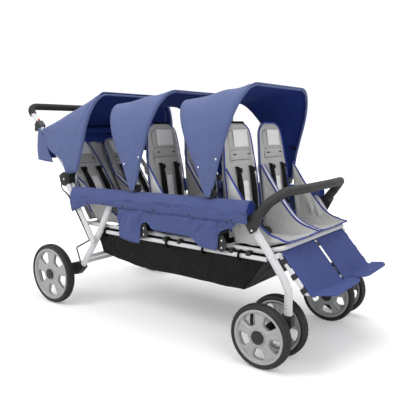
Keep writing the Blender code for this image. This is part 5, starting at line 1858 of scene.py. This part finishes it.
@dataclass
class Basket(Assembly):
    """The cloth basket slung between the lower rails."""

    rear_x: float = -0.352
    front_x: float = 0.632
    rear_slope: float = 0.020
    front_slope: float = 0.115
    rim_z: float = 0.407
    depth: float = 0.153
    rim_y: float = 0.2972
    slope: float = 0.022
    end: float = 0.16
    narrow_from: float = -0.20
    rise_from: float = -0.05
    loop: float = 0.0112

    def surface(self, u: float, v: float) -> Vector:
        """A point of the basket.

        Args:
            u: From 0 at the right to 1 at the left.
            v: From 0 at the rear to 1 at the front.

        Returns:
            The point.
        """
        out = abs(2 * u - 1)
        side = 1 if u > 0.5 else -1
        wall = max(0.0, (out - 0.5) / 0.5)
        ends = max(0.0, (self.end - v) / self.end, (v - (1 - self.end)) / self.end)
        rise = max(wall, ends)
        if v > 1 - self.end:
            x = self.front_x - self.front_slope * (1 - ends)
        elif v < self.end:
            x = self.rear_x + self.rear_slope * (1 - ends)
        else:
            x = mix(self.rear_x + self.rear_slope, self.front_x - self.front_slope,
                    (v - self.end) / (1 - 2 * self.end))
        y = self.rim_y - self.slope * (1 - wall)
        if wall == 0:
            y = (self.rim_y - self.slope) * min(1.0, out / 0.5)
        y -= 0.006 * max(0.0, min(1.0, (self.narrow_from - x) / 0.06))
        floor = self.rim_z - self.depth * (1 - 0.22 * max(0.0, (self.rise_from - x) / 0.30) ** 1.2)
        fold = 0.006 * noise.noise(Vector((x * 14, wall * 1.5, side * 2.0))) * math.sin(math.pi * wall)
        belly = 0.004 * math.sin(math.pi * wall)
        sway = 0.005 * noise.noise(Vector((x * 9, y * 9, 1.0))) * (1 - rise)
        y += belly * 0.4 + fold * 0.5 - 0.001
        return Vector((x, side * y, mix(floor + abs(sway), self.rim_z, rise)))

    def build(self) -> None:
        """Build the basket and its hanging loops."""
        self.sheet("basket_cloth", self.surface, (64, 100), (0.9, 1.1), "chassis", BASKET_BLACK, held="hung",
                   rests_on=["lower_rail_left", "lower_rail_right"], nodes=("basket",), angle=50.0)
        angles = [math.pi * step / 12 for step in range(-1, 26)]
        rings = [[side.at(x, FRAME_Y + self.loop * math.cos(angle), self.rim_z + self.loop * math.sin(angle))
                  for angle in angles] for side in Side for x in (-0.26, -0.06, 0.14, 0.34, 0.52)]
        loops = swept(rings, 0.012, 0.0010, 4, Vector((1.0, 0.0, 0.0)))
        self.piece("basket_loops", loops, "chassis", WEBBING)


@dataclass
class Handle(Assembly):
    """The foam grip, the release buttons and the rivets of the fold hinges."""

    length: float = 0.515
    bend: float = 0.055
    grip_radius: float = 0.0183
    slide: float = 0.400
    button_lift: float = 0.0165
    past_bend: float = 0.004
    hinge_face: float = 0.3409
    clip_face: float = 0.330

    def build(self) -> None:
        """Build the grip, the buttons and the hinge rivets."""
        low = slanted(HANDLE_FOLD, HANDLE_LEAN, self.length - self.bend - self.past_bend, 0.0)
        top = slanted(HANDLE_FOLD, HANDLE_LEAN, self.length, 0.0)
        corners = [side.at(x, HANDLE_Y, z) for side, (x, z) in
                   ((Side.LEFT, low), (Side.LEFT, top), (Side.RIGHT, top), (Side.RIGHT, low))]
        route = rounded_route(corners, self.bend, 12)
        grip = swept([route], self.grip_radius, sides=20, up=Vector((0.7, 0.0, 0.7)))
        self.piece("foam_grip", grip, "handle", GRIP, nodes=("handle_grip",))
        slider_x, slider_z = slanted(HANDLE_FOLD, HANDLE_LEAN, self.slide, self.button_lift)
        for side in Side:
            button = blocks([side.at(slider_x, HANDLE_Y, slider_z)], (0.006, 0.010, 0.014), -HANDLE_LEAN)
            self.piece(side.named("red_button"), button, side.named("release"), RED)
            spots = [side.at(x, face, z) for face, (x, z) in
                     ((self.hinge_face, HANDLE_FOLD), (self.clip_face, (-0.5766, 0.6629)),
                      (self.clip_face, REAR_CLIP))]
            self.piece(side.named("hinge_rivets"), domes(spots, 0.0048, 0.0020), "chassis", STEEL)


@dataclass
class Frame(Assembly):
    """The CAD tubes and fittings that keep their shape, and the small hardware on them."""

    leg_face: float = 0.3212
    rear_face: float = 0.3405

    def build(self, nodes: dict[str, bpy.types.Object]) -> None:
        """Dress the CAD nodes and add the rivets, clamps and links.

        Args:
            nodes: The frame's CAD nodes, by name.
        """
        pairs = ((PAINT, ("front_leg", "lower_rail", "upper_rail", "rear_strut")),
                 (BLACK, ("castor_fork", "fold_hinge", "front_canopy_clip", "middle_canopy_clip",
                          "rear_wheel_mount", "release_slider")))
        single = ((PAINT, ("footrest_frame", "handle_tube", "rear_leg_frame", "seat_frame")),
                  (ROD, ("brake_bar",)),
                  (BLUE, ("front_canopy_bow", "middle_canopy_bow", "rear_canopy_bow")))
        for finish, names in single:
            for name in names:
                wear(nodes[name], finish)
        for side in Side:
            for finish, stems in pairs:
                for stem in stems:
                    wear(nodes[side.named(stem)], finish)
            self.hardware(side)

    def hardware(self, side: Side) -> None:
        """The rivets on the legs, the clamps between the rails and the link behind the strut.

        Args:
            side: The side that they are on.
        """
        faces = ((self.leg_face, ((0.647, 0.437), (0.662, 0.418), (0.738, 0.252), (0.738, 0.238))),
                 (self.rear_face, ((-0.337, 0.359),)), (self.leg_face, ((-0.262, 0.486),)))
        spots = [side.at(x, face, z) for face, places in faces for x, z in places]
        self.piece(side.named("leg_rivets"), domes(spots, 0.0042, 0.0018), "chassis", STEEL)
        spots = [side.at(x, 0.3035, 0.421) for x in (0.125, 0.205, 0.478, 0.560)]
        clamps = blocks(spots, (0.020, 0.030, 0.020), 0.0, 0.003)
        self.piece(side.named("rail_clamps"), clamps, "chassis", BLACK)
        line = ((-0.5690, 0.3308, 0.640), (-0.5600, 0.3330, 0.600), (-0.5000, 0.3345, 0.560),
                (-0.4240, 0.3345, 0.452), (-0.3580, 0.3345, 0.352))
        path = smooth_path([side.at(*spot) for spot in line], 6)
        taper = [1.0 + 1.1 * math.exp(-((step - 13) / 4) ** 2) for step in range(len(path))]
        self.piece(side.named("strut_link"), swept([path], 0.0030, taper=taper), "chassis", BLACK)


# Studio


@dataclass
class Studio:
    """The pale floor, the soft lamps and the camera."""

    place: Vector = field(default_factory=lambda: Vector((1.6117, -1.965, 0.9065)))
    azimuth: float = math.radians(37.09)
    pitch: float = math.radians(8.88)
    roll: float = math.radians(-0.12)
    lens: float = 44.24

    def build(self) -> None:
        """Build the floor, the world, the lamps and the camera."""
        self.floor()
        self.world()
        self.lamp("Key", (-1.4, -3.2, 3.6), (0.0, 0.0, 0.5), 2.6, 95.0)
        self.lamp("Fill", (3.4, -1.6, 2.4), (0.1, 0.0, 0.5), 2.4, 42.0)
        self.lamp("Top", (0.2, 0.6, 3.8), (0.0, 0.0, 0.4), 3.0, 60.0)
        self.camera()

    def floor(self) -> None:
        """A pale floor that looks white to the camera and keeps the shadow."""
        bm = bmesh.new()
        bmesh.ops.create_grid(bm, x_segments=1, y_segments=1, size=14.0)
        mesh = bpy.data.meshes.new("Floor")
        bm.to_mesh(mesh)
        bm.free()
        floor = bpy.data.objects.new("Floor", mesh)
        bpy.context.scene.collection.objects.link(floor)
        material = bpy.data.materials.new("Pale floor")
        material.use_nodes = True
        nodes = material.node_tree.nodes
        board = Board(material.node_tree)
        shader = nodes["Principled BSDF"]
        shader.inputs["Base Color"].default_value = (0.86, 0.86, 0.86, 1.0)
        shader.inputs["Roughness"].default_value = 0.9
        reach = board.add("ShaderNodeVectorMath", operation="LENGTH")
        board.join(board.add("ShaderNodeTexCoord").outputs["Object"], reach.inputs[0])
        fade = board.add("ShaderNodeMapRange")
        for word, value in (("From Min", 0.85), ("From Max", 2.6), ("To Min", 0.22), ("To Max", 0.75)):
            fade.inputs[word].default_value = value
        board.join(reach.outputs["Value"], fade.inputs["Value"])
        glow = board.add("ShaderNodeEmission")
        board.join(fade.outputs["Result"], glow.inputs["Strength"])
        add = board.add("ShaderNodeAddShader")
        mixed = board.add("ShaderNodeMixShader")
        seen = board.add("ShaderNodeLightPath").outputs["Is Camera Ray"]
        for source, target in ((shader.outputs[0], add.inputs[0]), (glow.outputs[0], add.inputs[1]),
                               (seen, mixed.inputs[0]), (shader.outputs[0], mixed.inputs[1]),
                               (add.outputs[0], mixed.inputs[2]),
                               (mixed.outputs[0], nodes["Material Output"].inputs["Surface"])):
            board.join(source, target)
        floor.data.materials.append(material)

    def world(self) -> None:
        """A white surround for the camera and reflections, and a softer light for the rest."""
        world = bpy.data.worlds.new("Studio")
        bpy.context.scene.world = world
        world.use_nodes = True
        board = Board(world.node_tree)
        rays = board.add("ShaderNodeLightPath").outputs
        clear = board.math("MAXIMUM", rays["Is Camera Ray"], rays["Is Transmission Ray"])
        seen = board.math("MAXIMUM", clear, board.math("MULTIPLY", rays["Is Glossy Ray"], 0.6))
        strength = board.math("ADD", board.math("MULTIPLY", seen, 0.45), 0.60)
        background = world.node_tree.nodes["Background"]
        background.inputs["Color"].default_value = (1.0, 1.0, 1.0, 1.0)
        board.join(strength, background.inputs["Strength"])

    def lamp(self, name: str, place: Sequence[float], aim: Sequence[float], size: float,
             power: float) -> None:
        """Add a large soft lamp.

        Args:
            name: The lamp's name.
            place: Where it stands.
            aim: The point that it faces.
            size: Its diameter.
            power: Its power in watts.
        """
        data = bpy.data.lights.new(name, "AREA")
        data.shape = "DISK"
        data.size = size
        data.energy = power
        lamp = bpy.data.objects.new(name, data)
        lamp.location = place
        lamp.rotation_euler = (Vector(aim) - Vector(place)).to_track_quat("-Z", "Y").to_euler()
        bpy.context.scene.collection.objects.link(lamp)

    def camera(self) -> None:
        """The camera at the photograph's angle."""
        data = bpy.data.cameras.new("Camera")
        data.lens = self.lens
        data.sensor_width = 36.0
        data.sensor_fit = "HORIZONTAL"
        data.dof.use_dof = False
        camera = bpy.data.objects.new("Camera", data)
        camera.matrix_world = (Matrix.Translation(self.place) @ Matrix.Rotation(self.azimuth, 4, "Z")
                               @ Matrix.Rotation(math.pi / 2 - self.pitch, 4, "X")
                               @ Matrix.Rotation(self.roll, 4, "Z"))
        bpy.context.scene.collection.objects.link(camera)
        bpy.context.scene.camera = camera


def main() -> None:
    """Load the frame, build every piece and set the studio."""
    logging.basicConfig(level=logging.INFO, format="%(name)s: %(message)s")
    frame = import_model()
    Studio().build()
    bpy.context.scene.view_settings.view_transform = "Standard"
    Frame().build(frame["nodes"])
    Wheels().build()
    Canopies().build()
    for side in Side:
        SidePanel(side).build()
    Seats().build()
    BumperBar().build()
    Footrest().build()
    Basket().build()
    Handle().build()


if __name__ == "__main__":
    main()
